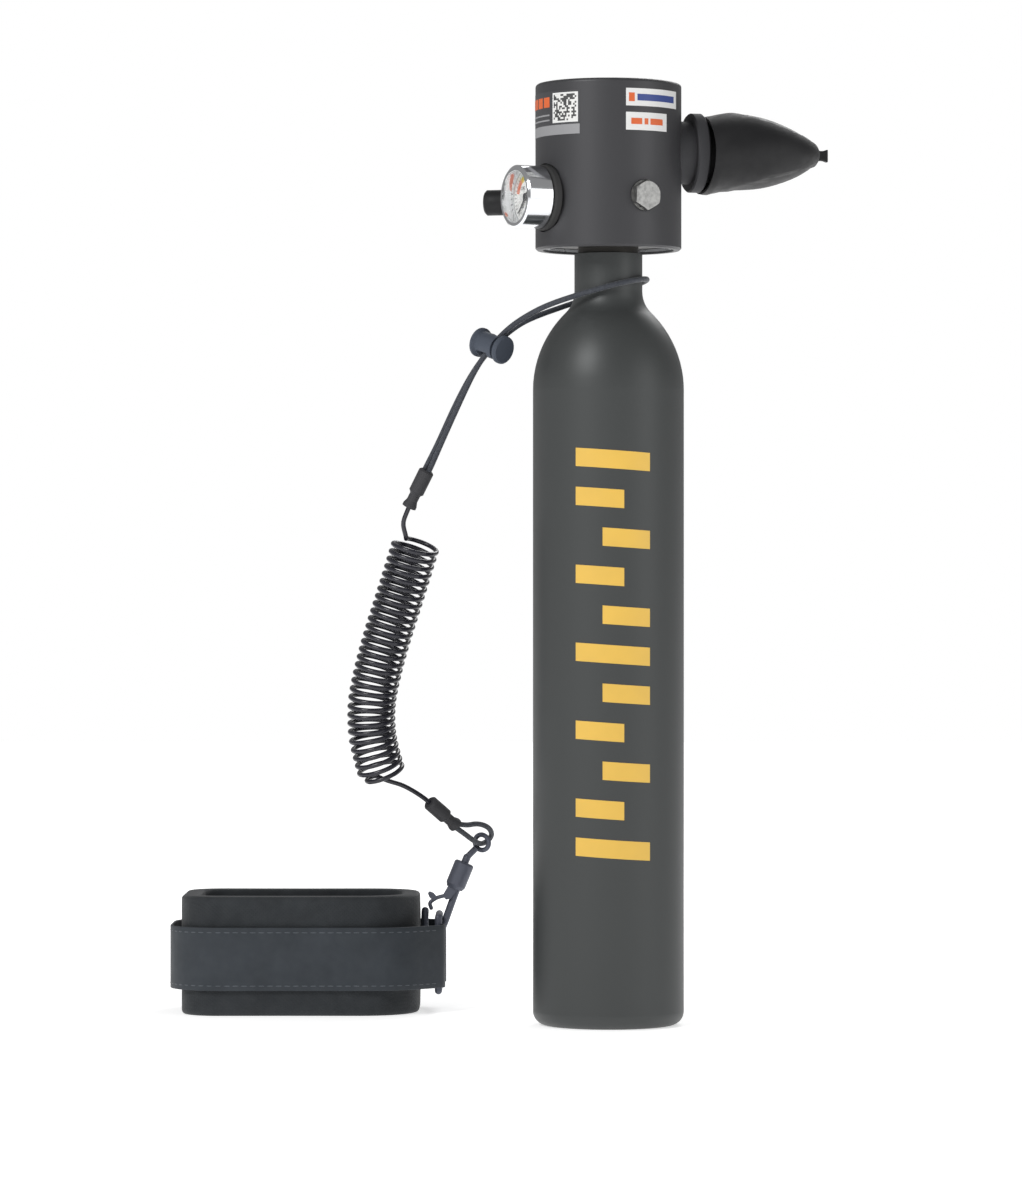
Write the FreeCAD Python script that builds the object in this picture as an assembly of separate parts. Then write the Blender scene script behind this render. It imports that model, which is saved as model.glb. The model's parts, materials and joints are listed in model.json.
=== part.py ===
"""Mini scuba tank: a half-litre bottle with a screw-in regulator head, mouthpiece and coiled wrist lanyard.

Units are millimetres.  The origin is the middle of the bottle's base, +Z runs up the bottle's axis,
+X is the mouthpiece's side and -Y is the front.  Parts that point outwards from the head are drawn
along +X and then turned about Z to their own bearing.
"""
import FreeCAD
import Part
import math
import os

V = FreeCAD.Vector
X_AXIS = V(1, 0, 0)
Y_AXIS = V(0, 1, 0)
Z_AXIS = V(0, 0, 1)
ORIGIN = V(0, 0, 0)
OUT_DIR = "parts"

# ---- bottle -------------------------------------------------------------------------------------
TANK_R = 30.0
TANK_WALL = 5.0
BASE_THICK = 7.0
BASE_CORNER_R = 5.5
SHOULDER_Z = 252.0
SHOULDER_ARC_R = 43.0
NECK_R = 13.5
NECK_TOP_Z = 306.0
NECK_BORE_R = 9.0
NECK_FILLET_R = 12.0

# ---- regulator head -----------------------------------------------------------------------------
HEAD_R = 29.0
HEAD_IN_R = 26.0
HEAD_Z0 = 307.5
HEAD_Z1 = 373.5
CORE_STOP_Z = 334.5
SEAT_LEDGE_Z = 358.0
LEDGE_THICK = 2.0
PORT_Z = 327.5
MOUTH_Z = 347.0
BARREL_Z = 342.0
FIT = 0.05

# bearings of the parts round the head, anticlockwise from +X, seen from above
MOUTH_DEG = 14.0
EXHAUST_DEG = 104.0
FILL_DEG = 165.0
GAUGE_DEG = 208.0
BURST_DEG = 298.0

# ---- core and first stage -----------------------------------------------------------------------
CORE_R = 25.8
CORE_Z0 = 309.5
STEM_R = 8.9
STEM_Z0 = 286.0
HP_BORE_R = 2.0
SEAT_Z = 303.0
SHAFT_R = 3.0
PISTON_R = 10.0
PISTON_BORE_Z = 314.0
PISTON_HEAD_Z = 322.0
PISTON_TRAVEL = 1.2
CAP_Z0 = 330.5
CAP_R = 11.9

# ---- demand valve (local X is the mouthpiece's bearing) ------------------------------------------
BARREL_R = 5.0
BARREL_X0 = -13.0
BARREL_X1 = 10.0
POST_X = -8.0
POPPET_STEM_R = 1.2
LEVER_X = 11.0
LEVER_Z = 347.0
LEVER_TIP = (-4.0, 359.3)

# ---- purge stack ----------------------------------------------------------------------------------
DIAPHRAGM_Z = 360.7
PLATE_Z = 361.35
COVER_Z = 369.0

# ---- lanyard ----------------------------------------------------------------------------------------
CORD_D = 2.2
COIL_CORD_D = 1.9
COIL_D = 20.0
NECK_ROUTE = [
    (-75.0, 12.9, 213.0), (-71.3, 11.2, 220.3), (-66.2, 8.6, 232.0), (-58.6, 4.0, 248.6),
    (-52.6, 0.2, 261.0), (-46.3, -1.2, 269.8), (-40.0, -2.0, 276.4), (-33.0, -4.2, 281.2),
    (-24.0, -8.6, 285.6), (-10.6, -14.0, 289.7), (0.0, -16.5, 292.6), (10.5, -12.6, 295.2),
    (16.2, -2.3, 296.3), (13.6, 9.2, 295.2), (3.9, 16.0, 292.5), (-8.4, 15.4, 289.4),
    (-18.5, 9.6, 285.6), (-27.0, 5.0, 282.4), (-34.4, 1.8, 279.0), (-40.4, 1.2, 274.6),
    (-46.4, 1.3, 269.2), (-53.6, 2.6, 260.0), (-60.4, 6.0, 247.6), (-68.0, 10.4, 230.9),
    (-73.0, 12.9, 221.3), (-76.6, 14.4, 214.1)]
LEAD_TOP_ROUTE = [(-78.8, 15.1, 207.6), (-80.6, 15.9, 203.6), (-82.2, 17.0, 199.3), (-81.0, 18.0, 194.9),
                  (-80.4, 18.6, 191.6)]
COIL_ROUTE = [(-76.6, 18.0, 191.8), (-82.5, 22.0, 172.7), (-89.9, 27.0, 150.2), (-94.8, 31.5, 130.4),
              (-95.3, 34.0, 120.2), (-94.5, 36.0, 110.0), (-90.7, 39.5, 97.4)]
LEAD_BOTTOM_ROUTE = [(-91.6, 39.8, 98.6), (-90.3, 41.0, 96.0), (-87.2, 42.2, 94.9), (-83.0, 43.6, 93.7),
                     (-78.0, 46.0, 90.9), (-72.9, 49.2, 87.3), (-69.6, 51.9, 84.1)]
END_LOOP_ROUTE = [(-62.0, 57.9, 77.6), (-57.6, 61.2, 76.2), (-52.5, 64.0, 77.2), (-48.0, 67.0, 75.6),
                  (-46.4, 71.0, 72.6), (-47.5, 73.9, 70.1), (-49.9, 73.2, 68.5), (-51.7, 69.6, 68.4),
                  (-54.5, 65.0, 70.3), (-58.0, 61.3, 73.2), (-61.2, 58.4, 75.6)]
UPPER_SLEEVE = (V(-72.3, 12.0, 220.5), V(-79.7, 15.4, 205.7))
LOWER_SLEEVE = (V(-71.9, 50.0, 86.3), V(-59.4, 60.0, 74.8))
SLEEVE_PROFILE = [(0.0, 2.5), (0.6, 3.1), (9.8, 3.1), (10.4, 2.5), (10.9, 2.2), (13.6, 2.2), (15.6, 2.9),
                  (16.6, 2.9)]

LOCK_C = V(-46.3, 0.0, 269.6)
LOCK_AXIS = V(0.70, -0.66, -0.27)
LOCK_CORD_DIR = V(0.70, -0.10, 0.71)
LOCK_PRESS = 1.8

HOOK_Y = 70.0
BARREL_TOP = V(-57.7, HOOK_Y, 60.75)
BARREL_END = V(-62.05, HOOK_Y, 50.1)
HOOK_BARREL_R = 4.1
HOOK_WIRE_R = 1.5
HOOK_ROUTE = [(-60.9, HOOK_Y, 50.2), (-63.2, HOOK_Y, 44.0), (-65.6, HOOK_Y, 37.2), (-67.9, HOOK_Y, 31.4),
              (-71.0, HOOK_Y, 28.9), (-74.0, HOOK_Y, 32.0), (-74.2, HOOK_Y, 36.6),
              (-74.0, HOOK_Y, 41.0)]
GATE_PIVOT = V(-64.9, HOOK_Y, 47.4)
GATE_ROUTE = [(-64.9, HOOK_Y, 47.4), (-69.4, HOOK_Y, 46.3), (-72.3, HOOK_Y, 44.2), (-71.5, HOOK_Y, 42.0)]
GATE_WIRE_R = 0.8
EYE_C = V(-50.7, 70.3, 69.0)
EYE_NORMAL = V(-0.45, -0.88, -0.10)

RING_X = -68.4
RING_WIRE_R = 1.5
RING_Y = (60.0, 88.0)
RING_Z = (8.8, 38.6)

PAD_TOP = 48.5
PAD_WALL = 7.5
PAD_PLAN = [(-173.1, 39.6, 15.0), (-76.2, 39.6, 24.0), (-76.2, 100.9, 20.0), (-173.1, 100.9, 15.0)]
BAND_Z = (10.4, 36.0)
BAND_THICK = 1.2
BAND_PLAN = [(-178.0, 37.5, 21.0), (-84.0, 37.5, 28.0), (-65.6, 55.5, 5.0), (-65.6, 92.5, 5.0),
             (-84.0, 103.6, 20.0), (-178.0, 103.6, 21.0)]


# ---- helpers ----------------------------------------------------------------------------------------
def export(node, shape):
    """Write one node and print its size, so that an empty or broken solid shows at once."""
    solids = shape.Solids
    shape = solids[0] if len(solids) == 1 else Part.makeCompound(solids)
    good = all(s.isValid() and s.Volume > 0 for s in solids) and solids
    print("%-22s solids %d volume %.1f %s" % (node, len(solids), shape.Volume, "" if good else "BAD"))
    shape.exportStep("%s/%s.step" % (OUT_DIR, node))


def cyl_x(r, x0, x1, z=0.0, y=0.0):
    """A cylinder along +X."""
    return Part.makeCylinder(r, x1 - x0, V(x0, y, z), X_AXIS)


def cyl_z(r, z0, z1, x=0.0, y=0.0):
    """A cylinder along +Z."""
    return Part.makeCylinder(r, z1 - z0, V(x, y, z0), Z_AXIS)


def cyl_y(r, y0, y1, x, z):
    """A cylinder along +Y."""
    return Part.makeCylinder(r, y1 - y0, V(x, y0, z), Y_AXIS)


def box(x0, x1, y0, y1, z0, z1):
    """A block between two corners."""
    return Part.makeBox(x1 - x0, y1 - y0, z1 - z0, V(x0, y0, z0))


def bearing(shape, degrees):
    """The shape turned about the bottle's axis."""
    turned = shape.copy()
    turned.rotate(ORIGIN, Z_AXIS, degrees)
    return turned


def lathe_x(profile, z):
    """A solid of revolution about the line along +X at height z, from (x, radius) points."""
    points = [V(profile[0][0], 0, z)]
    points += [V(x, 0, z + r) for x, r in profile]
    points += [V(profile[-1][0], 0, z), points[0]]
    return Part.Face(Part.makePolygon(points)).revolve(V(0, 0, z), X_AXIS, 360)


def lathe_between(profile, start, end):
    """A solid of revolution about the line from start to end, from (distance, radius) points."""
    solid = lathe_x(profile, 0.0)
    solid.Placement = FreeCAD.Placement(start, FreeCAD.Rotation(X_AXIS, end - start))
    return solid


def route_wire(points, name):
    """Straight runs joined by tangent arcs, each as large as its two runs allow."""
    pts = [V(*p) for p in points]
    edges = []
    radii = []
    last = pts[0]
    for before, corner, after in zip(pts, pts[1:], pts[2:]):
        back = (before - corner).normalize()
        ahead = (after - corner).normalize()
        half_turn = (math.pi - back.getAngle(ahead)) / 2
        cut = 0.45 * min((before - corner).Length, (after - corner).Length)
        radii.append(cut / math.tan(half_turn))
        start = corner + back * cut
        end = corner + ahead * cut
        middle = (back + ahead).normalize()
        centre = corner + middle * math.hypot(cut, radii[-1])
        edges.append(Part.LineSegment(last, start).toShape())
        edges.append(Part.Arc(start, centre - middle * radii[-1], end).toShape())
        last = end
    edges.append(Part.LineSegment(last, pts[-1]).toShape())
    print("%s arc radii: %s" % (name, ", ".join("%.1f" % r for r in radii)))
    return Part.Wire(edges)


def route_tube(points, diameter, name):
    """A round tube along a route; its volume is compared with its section times its length."""
    wire = route_wire(points, name)
    start = V(*points[0])
    circle = Part.Circle(start, V(*points[1]) - start, diameter / 2)
    tube = wire.makePipeShell([Part.Wire(circle.toShape())], True, True)
    expected = math.pi * diameter ** 2 / 4 * wire.Length
    print("%s length %.1f volume ratio %.4f" % (name, wire.Length, tube.Volume / expected))
    return tube


def rounded_prism(plan, z0, z1, inset=0.0):
    """A prism on a polygon with rounded corners, given as (x, y, radius); inset shrinks it evenly."""
    corners = [V(x, y, z0) for x, y, _ in plan]
    edges = []
    count = len(plan)
    ends = []
    for i in range(count):
        back = (corners[i - 1] - corners[i]).normalize()
        ahead = (corners[(i + 1) % count] - corners[i]).normalize()
        half_turn = (math.pi - back.getAngle(ahead)) / 2
        cut = plan[i][2] * math.tan(half_turn)
        middle = (back + ahead).normalize()
        centre = corners[i] + middle * math.hypot(cut, plan[i][2])
        toward = (corners[i] - centre).normalize()
        radius = plan[i][2] - inset
        first = centre + (corners[i] + back * cut - centre).normalize() * radius
        last = centre + (corners[i] + ahead * cut - centre).normalize() * radius
        ends.append((first, centre + toward * radius, last))
    for i, (first, middle, last) in enumerate(ends):
        edges.append(Part.Arc(first, middle, last).toShape())
        edges.append(Part.LineSegment(last, ends[(i + 1) % count][0]).toShape())
    return Part.Face(Part.Wire(edges)).extrude(V(0, 0, z1 - z0))


def coil_spring(name, mean_r, wire_d, turns, length, start, direction):
    """A compression spring from start along direction: a round wire led through ten points a turn."""
    per_turn = 10
    radius = mean_r / math.cos(math.pi / per_turn)
    points = []
    for k in range(per_turn * turns + 1):
        angle = 2 * math.pi * k / per_turn
        height = wire_d / 2 + (length - wire_d) * k / (per_turn * turns)
        points.append((radius * math.cos(angle), radius * math.sin(angle), height))
    spring = route_tube(points, wire_d, name)
    spring.Placement = FreeCAD.Placement(start, FreeCAD.Rotation(Z_AXIS, direction))
    return spring


def torus_z(major, minor, z):
    """An O-ring round the bottle's axis."""
    return Part.makeTorus(major, minor, V(0, 0, z), Z_AXIS)


# ---- bottle -------------------------------------------------------------------------------------------
def cylinder():
    """The bottle: flat base, straight wall, domed shoulder and threaded neck, drawn as one turned profile."""
    arc_x = TANK_R - SHOULDER_ARC_R
    inner_r = TANK_R - TANK_WALL
    inner_arc = SHOULDER_ARC_R - TANK_WALL
    fillet_x = NECK_R + NECK_FILLET_R
    reach = SHOULDER_ARC_R + NECK_FILLET_R
    fillet_z = SHOULDER_Z + math.sqrt(reach ** 2 - (fillet_x - arc_x) ** 2)
    slope = math.atan2(fillet_z - SHOULDER_Z, fillet_x - arc_x)
    join = V(arc_x + SHOULDER_ARC_R * math.cos(slope), 0, SHOULDER_Z + SHOULDER_ARC_R * math.sin(slope))
    arc_mid = V(arc_x + SHOULDER_ARC_R * math.cos(slope / 2), 0,
                SHOULDER_Z + SHOULDER_ARC_R * math.sin(slope / 2))
    fillet_mid_angle = (math.pi + slope + math.pi) / 2
    fillet_mid = V(fillet_x + NECK_FILLET_R * math.cos(fillet_mid_angle), 0,
                   fillet_z + NECK_FILLET_R * math.sin(fillet_mid_angle))
    neck_base = V(NECK_R, 0, fillet_z)
    bore_z = SHOULDER_Z + math.sqrt(inner_arc ** 2 - (NECK_BORE_R - arc_x) ** 2)
    inner_slope = math.atan2(bore_z - SHOULDER_Z, NECK_BORE_R - arc_x)
    inner_mid = V(arc_x + inner_arc * math.cos(inner_slope / 2), 0,
                  SHOULDER_Z + inner_arc * math.sin(inner_slope / 2))
    corner = BASE_CORNER_R
    corner_mid = V(TANK_R - corner + corner * math.sin(math.pi / 4), 0,
                   corner - corner * math.cos(math.pi / 4))
    edges = [
        Part.LineSegment(ORIGIN, V(TANK_R - corner, 0, 0)),
        Part.Arc(V(TANK_R - corner, 0, 0), corner_mid, V(TANK_R, 0, corner)),
        Part.LineSegment(V(TANK_R, 0, corner), V(TANK_R, 0, SHOULDER_Z)),
        Part.Arc(V(TANK_R, 0, SHOULDER_Z), arc_mid, join),
        Part.Arc(join, fillet_mid, neck_base),
        Part.LineSegment(neck_base, V(NECK_R, 0, NECK_TOP_Z)),
        Part.LineSegment(V(NECK_R, 0, NECK_TOP_Z), V(NECK_BORE_R, 0, NECK_TOP_Z)),
        Part.LineSegment(V(NECK_BORE_R, 0, NECK_TOP_Z), V(NECK_BORE_R, 0, bore_z)),
        Part.Arc(V(NECK_BORE_R, 0, bore_z), inner_mid, V(inner_r, 0, SHOULDER_Z)),
        Part.LineSegment(V(inner_r, 0, SHOULDER_Z), V(inner_r, 0, BASE_THICK)),
        Part.LineSegment(V(inner_r, 0, BASE_THICK), V(0, 0, BASE_THICK)),
        Part.LineSegment(V(0, 0, BASE_THICK), ORIGIN)]
    face = Part.Face(Part.Wire([e.toShape() for e in edges]))
    return face.revolve(ORIGIN, Z_AXIS, 360)


# ---- core and first stage -------------------------------------------------------------------------------
def feed_passage():
    """A sloping drilling from the high-pressure bore to the bottom of a port, along +X."""
    start = V(0, 0, 295)
    end = V(18.8, 0, 325)
    return Part.makeCylinder(0.8, (end - start).Length, start, end - start)


def valve_body():
    """The brass core: threaded stem, seat pocket, piston cylinder, three high-pressure ports."""
    body = cyl_z(CORE_R, CORE_Z0, CORE_STOP_Z).fuse(cyl_z(12.0, NECK_TOP_Z, CORE_Z0))
    body = body.fuse(cyl_z(STEM_R, STEM_Z0, NECK_TOP_Z))
    cuts = [cyl_z(HP_BORE_R, STEM_Z0, SEAT_Z), cyl_z(SHAFT_R + FIT, SEAT_Z, PISTON_BORE_Z),
            cyl_z(PISTON_R + FIT, PISTON_BORE_Z, CAP_Z0), cyl_z(CAP_R + FIT, CAP_Z0, CORE_STOP_Z),
            cyl_z(4.2, STEM_Z0, STEM_Z0 + 4.0)]
    cuts.append(cyl_z(CORE_R + 1, 332.4, 334.1).cut(cyl_z(24.2, 332.4, 334.1)))
    cuts.append(cyl_z(STEM_R + 1, 304.0, NECK_TOP_Z).cut(cyl_z(7.35, 304.0, NECK_TOP_Z)))
    for degrees, depth in ((GAUGE_DEG, 17.5), (BURST_DEG, 17.5), (FILL_DEG, 17.5)):
        cuts.append(bearing(cyl_x(4.0 + FIT, depth, CORE_R + 1, PORT_Z), degrees))
        cuts.append(bearing(feed_passage(), degrees))
    for cut in cuts:
        body = body.cut(cut)
    return body


def valve_seat():
    """The plastic seat that the piston's shaft closes on."""
    return cyl_z(SHAFT_R, SEAT_Z, SEAT_Z + 2).cut(cyl_z(0.8, SEAT_Z, SEAT_Z + 2))


def inlet_filter():
    """A sintered cone-shaped filter pushed into the foot of the stem."""
    outer = Part.makeCone(2.6, 4.15, 7.0, V(0, 0, STEM_Z0 - 3), Z_AXIS)
    return outer.cut(cyl_z(1.6, STEM_Z0 - 1, STEM_Z0 + 4))


def first_stage_piston():
    """Hollow shaft and flat head with its O-ring groove."""
    shaft_z = SEAT_Z + 2 + PISTON_TRAVEL + FIT
    head_top = PISTON_HEAD_Z + 4
    piston = cyl_z(SHAFT_R, shaft_z, PISTON_HEAD_Z).fuse(cyl_z(PISTON_R, PISTON_HEAD_Z, head_top))
    groove = cyl_z(PISTON_R + 1, 323.2, 324.8).cut(cyl_z(8.5, 323.2, 324.8))
    return piston.cut(groove).cut(cyl_z(0.9, shaft_z, head_top))


def first_stage_cap():
    """The screw-in cap over the piston, with the outlet hole that feeds the demand valve."""
    cap = cyl_z(CAP_R, CAP_Z0, CORE_STOP_Z)
    return cap.cut(bearing(cyl_z(1.2, CAP_Z0, CORE_STOP_Z, POST_X), MOUTH_DEG))


# ---- housing ------------------------------------------------------------------------------------------
def head_housing():
    """The outer shell, with its ledges, circlip groove, port holes and exhaust boss."""
    shell = cyl_z(HEAD_R, HEAD_Z0, HEAD_Z1)
    edges = [e for e in shell.Edges if e.Curve.TypeId == "Part::GeomCircle"]
    top = [e for e in edges if abs(e.Curve.Center.z - HEAD_Z1) < 0.01]
    bottom = [e for e in edges if abs(e.Curve.Center.z - HEAD_Z0) < 0.01]
    shell = shell.makeFillet(1.4, top).makeChamfer(0.8, bottom)
    shell = shell.fuse(bearing(cyl_x(10.5, 20.0, 29.5, MOUTH_Z), EXHAUST_DEG))
    for r, z0, z1 in ((HEAD_IN_R, HEAD_Z0, CORE_STOP_Z), (24.0, CORE_STOP_Z, CORE_STOP_Z + LEDGE_THICK),
                      (HEAD_IN_R, CORE_STOP_Z + LEDGE_THICK, SEAT_LEDGE_Z),
                      (22.5, SEAT_LEDGE_Z, SEAT_LEDGE_Z + LEDGE_THICK),
                      (HEAD_IN_R, SEAT_LEDGE_Z + LEDGE_THICK, HEAD_Z1), (26.9, 308.3, 309.4)):
        shell = shell.cut(cyl_z(r, z0, z1))
    for degrees, r, flat_r, flat_x in ((GAUGE_DEG, 4.4, 13.5, 27.3), (BURST_DEG, 4.3, 6.4, 28.6),
                                       (FILL_DEG, 4.3, 5.6, 28.4)):
        shell = shell.cut(bearing(cyl_x(r, 20.0, 40.0, PORT_Z), degrees))
        shell = shell.cut(bearing(cyl_x(flat_r, flat_x, 40.0, PORT_Z), degrees))
    shell = shell.cut(bearing(cyl_x(9.5, 15.0, 40.0, MOUTH_Z), MOUTH_DEG))
    shell = shell.cut(bearing(cyl_x(12.5, 26.2, 40.0, MOUTH_Z), MOUTH_DEG))
    shell = shell.cut(bearing(cyl_x(1.1, 20.0, 31.0, MOUTH_Z), EXHAUST_DEG))
    for k in range(6):
        y = 5.0 * math.cos(k * math.pi / 3)
        z = MOUTH_Z + 5.0 * math.sin(k * math.pi / 3)
        shell = shell.cut(bearing(cyl_x(1.6, 20.0, 31.0, z, y), EXHAUST_DEG))
    return shell


def retaining_circlip():
    """The open wire ring that holds the core in the housing."""
    ring = cyl_z(26.8, 308.35, 309.35).cut(cyl_z(24.8, 308.35, 309.35))
    for y in (-4.0, 4.0):
        ring = ring.fuse(cyl_z(1.6, 308.35, 309.35, -24.4, y))
    ring = ring.cut(box(-28, -20, -2.6, 2.6, 308, 310))
    for y in (-4.0, 4.0):
        ring = ring.cut(cyl_z(0.7, 308, 310, -24.4, y))
    return ring


# ---- gauge ----------------------------------------------------------------------------------------------
def gauge():
    """The pressure gauge, as its separate pieces, on its own bearing."""
    z = PORT_Z
    stem = lathe_x([(19.6, 4.0), (27.2, 4.0), (27.2, 3.0), (33.0, 3.0)], z).cut(cyl_x(0.8, 19.6, 32.0, z))
    boot = lathe_x([(27.3, 12.2), (28.1, 13.0), (30.0, 13.0), (30.8, 12.6)], z).cut(cyl_x(3.05, 27, 31, z))
    case = lathe_x([(30.8, 11.6), (31.6, 12.4), (41.0, 12.4)], z)
    case = case.cut(cyl_x(11.2, 32.2, 41.0, z)).cut(cyl_x(3.05, 30.8, 33.0, z))
    bezel = lathe_x([(41.0, 12.4), (41.6, 12.4), (42.3, 11.6)], z).cut(cyl_x(10.4, 40.9, 43.0, z))
    lens = cyl_x(11.1, 40.0, 41.0, z)
    dial = cyl_x(11.0, 36.0, 36.6, z).cut(cyl_x(0.6, 35.9, 36.7, z))
    needle = cyl_x(0.5, 33.6, 37.8, z).fuse(cyl_x(1.5, 36.9, 37.8, z))
    tip = V(37.1, 0, z)
    blade = Part.makePolygon([tip + V(0, 0.7, -2.8), tip + V(0, 0.15, 8.6), tip + V(0, -0.15, 8.6),
                              tip + V(0, -0.7, -2.8), tip + V(0, 0.7, -2.8)])
    needle = needle.fuse(Part.Face(blade).extrude(V(0.4, 0, 0)))
    needle.rotate(V(0, 0, z), X_AXIS, 135)
    tube = Part.makeTorus(7.5, 0.9, ORIGIN, Z_AXIS, -180, 180, 250)
    tube.rotate(ORIGIN, Y_AXIS, -90)
    tube.translate(V(34.2, 0, z))
    tube = tube.fuse(box(33.4, 34.9, -0.9, 0.9, z + 1.2, z + 7.8))
    pieces = {"gauge_stem": stem, "gauge_boot": boot, "gauge_case": case, "gauge_bezel": bezel,
              "gauge_lens": lens, "gauge_dial": dial, "gauge_needle": needle, "bourdon_tube": tube}
    for node, shape in pieces.items():
        export(node, bearing(shape, GAUGE_DEG))


# ---- burst plug and fill valve -----------------------------------------------------------------------------
def burst_plug():
    """The hexagonal safety plug, corners up and down, and the thin disc that it clamps."""
    z = PORT_Z
    corner_r = 10.5 / math.sqrt(3)
    points = [V(29.4, corner_r * math.sin(k * math.pi / 3), z + corner_r * math.cos(k * math.pi / 3))
              for k in range(7)]
    plug = Part.Face(Part.makePolygon(points)).extrude(V(3.1, 0, 0))
    plug = plug.common(lathe_x([(29.4, 6.2), (31.9, 6.2), (32.5, 5.3)], z))
    plug = plug.fuse(lathe_x([(20.1, 4.0), (28.7, 4.0), (28.7, 5.9), (29.4, 5.9)], z))
    plug = plug.cut(cyl_x(1.2, 20.1, 30.8, z))
    for degrees in (30, 150, 270):
        vent = cyl_x(0.7, 0, 8, 0)
        vent.rotate(ORIGIN, Y_AXIS, -90)
        vent.rotate(ORIGIN, X_AXIS, degrees)
        vent.translate(V(30.4, 0, z))
        plug = plug.cut(vent)
    export("burst_disc_plug", bearing(plug, BURST_DEG))
    export("burst_disc", bearing(cyl_x(3.9, 19.6, 20.1, z), BURST_DEG))


def fill_valve():
    """The filling nipple with its sprung check valve and its pull-off dust cap."""
    z = PORT_Z
    nipple = lathe_x([(20.0, 4.0), (28.4, 4.0), (28.4, 5.3), (32.6, 5.3), (32.6, 3.5), (37.0, 3.5),
                      (37.6, 3.0), (38.8, 3.0), (39.4, 3.5), (45.4, 3.5), (46.0, 3.0)], z)
    for r, x0, x1 in ((1.2, 20.0, 46.0), (2.2, 24.0, 41.0)):
        nipple = nipple.cut(cyl_x(r, x0, x1, z))
    poppet = lathe_x([(37.0, 2.13), (40.3, 2.13), (40.9, 1.4), (40.9, 0.8), (44.6, 0.8)], z)
    cap = lathe_x([(33.0, 5.1), (34.6, 5.1), (34.9, 4.7), (35.7, 4.7), (36.0, 5.1), (49.7, 5.1),
                   (50.5, 4.3)], z).cut(cyl_x(3.58, 32.9, 47.0, z))
    spring = coil_spring("fill_spring", 1.5, 0.6, 7, 12.7, V(24.1, 0, z), X_AXIS)
    for node, shape in (("fill_nipple", nipple), ("fill_poppet", poppet), ("fill_cap", cap),
                        ("fill_spring", spring)):
        export(node, bearing(shape, FILL_DEG))


# ---- demand valve ---------------------------------------------------------------------------------------------
def demand_valve():
    """The downstream valve: barrel on its post, poppet, spring, nut, lever and lever pin."""
    z = BARREL_Z
    barrel = cyl_x(BARREL_R, BARREL_X0, BARREL_X1, z).cut(box(8, 11, -3.6, 3.6, 345.3, 348))
    for y0, y1 in ((-5.0, -3.7), (3.7, 5.0)):
        barrel = barrel.fuse(box(6.0, 13.0, y0, y1, 341.0, 349.6))
    barrel = barrel.fuse(cyl_z(3.2, CORE_STOP_Z, z, POST_X))
    for cut in (cyl_z(1.2, CORE_STOP_Z, z, POST_X), cyl_x(2.2, -11.0, -4.0, z), cyl_x(1.2, -4.0, -3.0, z),
                cyl_x(3.4, -3.0, 8.0, z), cyl_x(POPPET_STEM_R + FIT, 8.0, BARREL_X1, z),
                box(-2.0, 3.0, -6.0, 6.0, z - 1.2, z + 1.2), cyl_y(0.8, -6.0, 6.0, LEVER_X, LEVER_Z)):
        barrel = barrel.cut(cut)
    poppet = cyl_x(3.33, -2.95, 0.5, z).fuse(cyl_x(POPPET_STEM_R, 0.5, 13.8, z))
    nut = cyl_x(2.4, 12.3, 13.7, z).cut(cyl_x(POPPET_STEM_R, 12.0, 14.0, z))
    spring = coil_spring("poppet_spring", 2.3, 0.6, 5, 7.3, V(0.6, 0, z), X_AXIS)
    pin = cyl_y(0.75, -5.3, 5.3, LEVER_X, LEVER_Z)
    pieces = {"valve_barrel": barrel, "demand_poppet": poppet, "poppet_nut": nut,
              "poppet_spring": spring, "lever_pin": pin, "demand_lever": demand_lever()}
    for node, shape in pieces.items():
        export(node, bearing(shape, MOUTH_DEG))


def demand_lever():
    """A forked lever: two feet behind the nut, eyes on the pin and an arm up to the diaphragm."""
    lever = box(10.2, 11.8, -3.4, 3.4, 348.2, 349.4)
    for y0, y1, foot_y in ((-3.4, -2.5, -1.4), (2.5, 3.4, 1.4)):
        lever = lever.fuse(box(10.45, 11.85, y0, y1, 342.0, 349.4))
        lever = lever.fuse(cyl_y(1.45, y0, y1, LEVER_X, LEVER_Z))
        lever = lever.fuse(cyl_y(1.0, min(y0, foot_y), max(y1, foot_y), 11.15, BARREL_Z))
    tip_x, tip_z = LEVER_TIP
    start = V(LEVER_X, -2.2, 348.9)
    along = V(tip_x - LEVER_X, 0, tip_z - 348.9)
    side = V(-along.z, 0, along.x).normalize() * 0.5
    corners = [start + side, start - side, start - side + along, start + side + along, start + side]
    lever = lever.fuse(Part.Face(Part.makePolygon(corners)).extrude(V(0, 4.4, 0)))
    lever = lever.fuse(cyl_y(1.2, -2.2, 2.2, tip_x, tip_z))
    return lever.cut(cyl_y(0.82, -6.0, 6.0, LEVER_X, LEVER_Z))


# ---- diaphragm, cover and purge button ---------------------------------------------------------------------------
def diaphragm():
    """A silicone membrane with a thick clamped bead and a rolled edge."""
    bead = cyl_z(25.8, 360.0, 362.0).cut(cyl_z(22.6, 360.0, 362.0))
    return bead.fuse(cyl_z(22.8, DIAPHRAGM_Z, DIAPHRAGM_Z + 0.6))


def top_cover():
    """The threaded cover: a plate with water holes over a skirt that clamps the diaphragm."""
    cover = cyl_z(25.8, 362.0, 372.0).cut(cyl_z(23.0, 362.0, COVER_Z)).cut(cyl_z(10.8, COVER_Z, 372.0))
    for k in range(12):
        angle = k * math.pi / 6
        cover = cover.cut(cyl_z(1.7, COVER_Z, 372.0, 17.5 * math.cos(angle), 17.5 * math.sin(angle)))
    return cover


def purge_button():
    """A domed button with a retaining flange and a boss that meets the diaphragm plate."""
    dome_r = 40.0
    dome = cyl_z(10.5, 367.4, 374.0).common(Part.makeSphere(dome_r, V(0, 0, 373.2 - dome_r)))
    return dome.fuse(cyl_z(12.5, 367.4, 368.9)).fuse(cyl_z(4.0, 363.8, 368.0))


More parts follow.
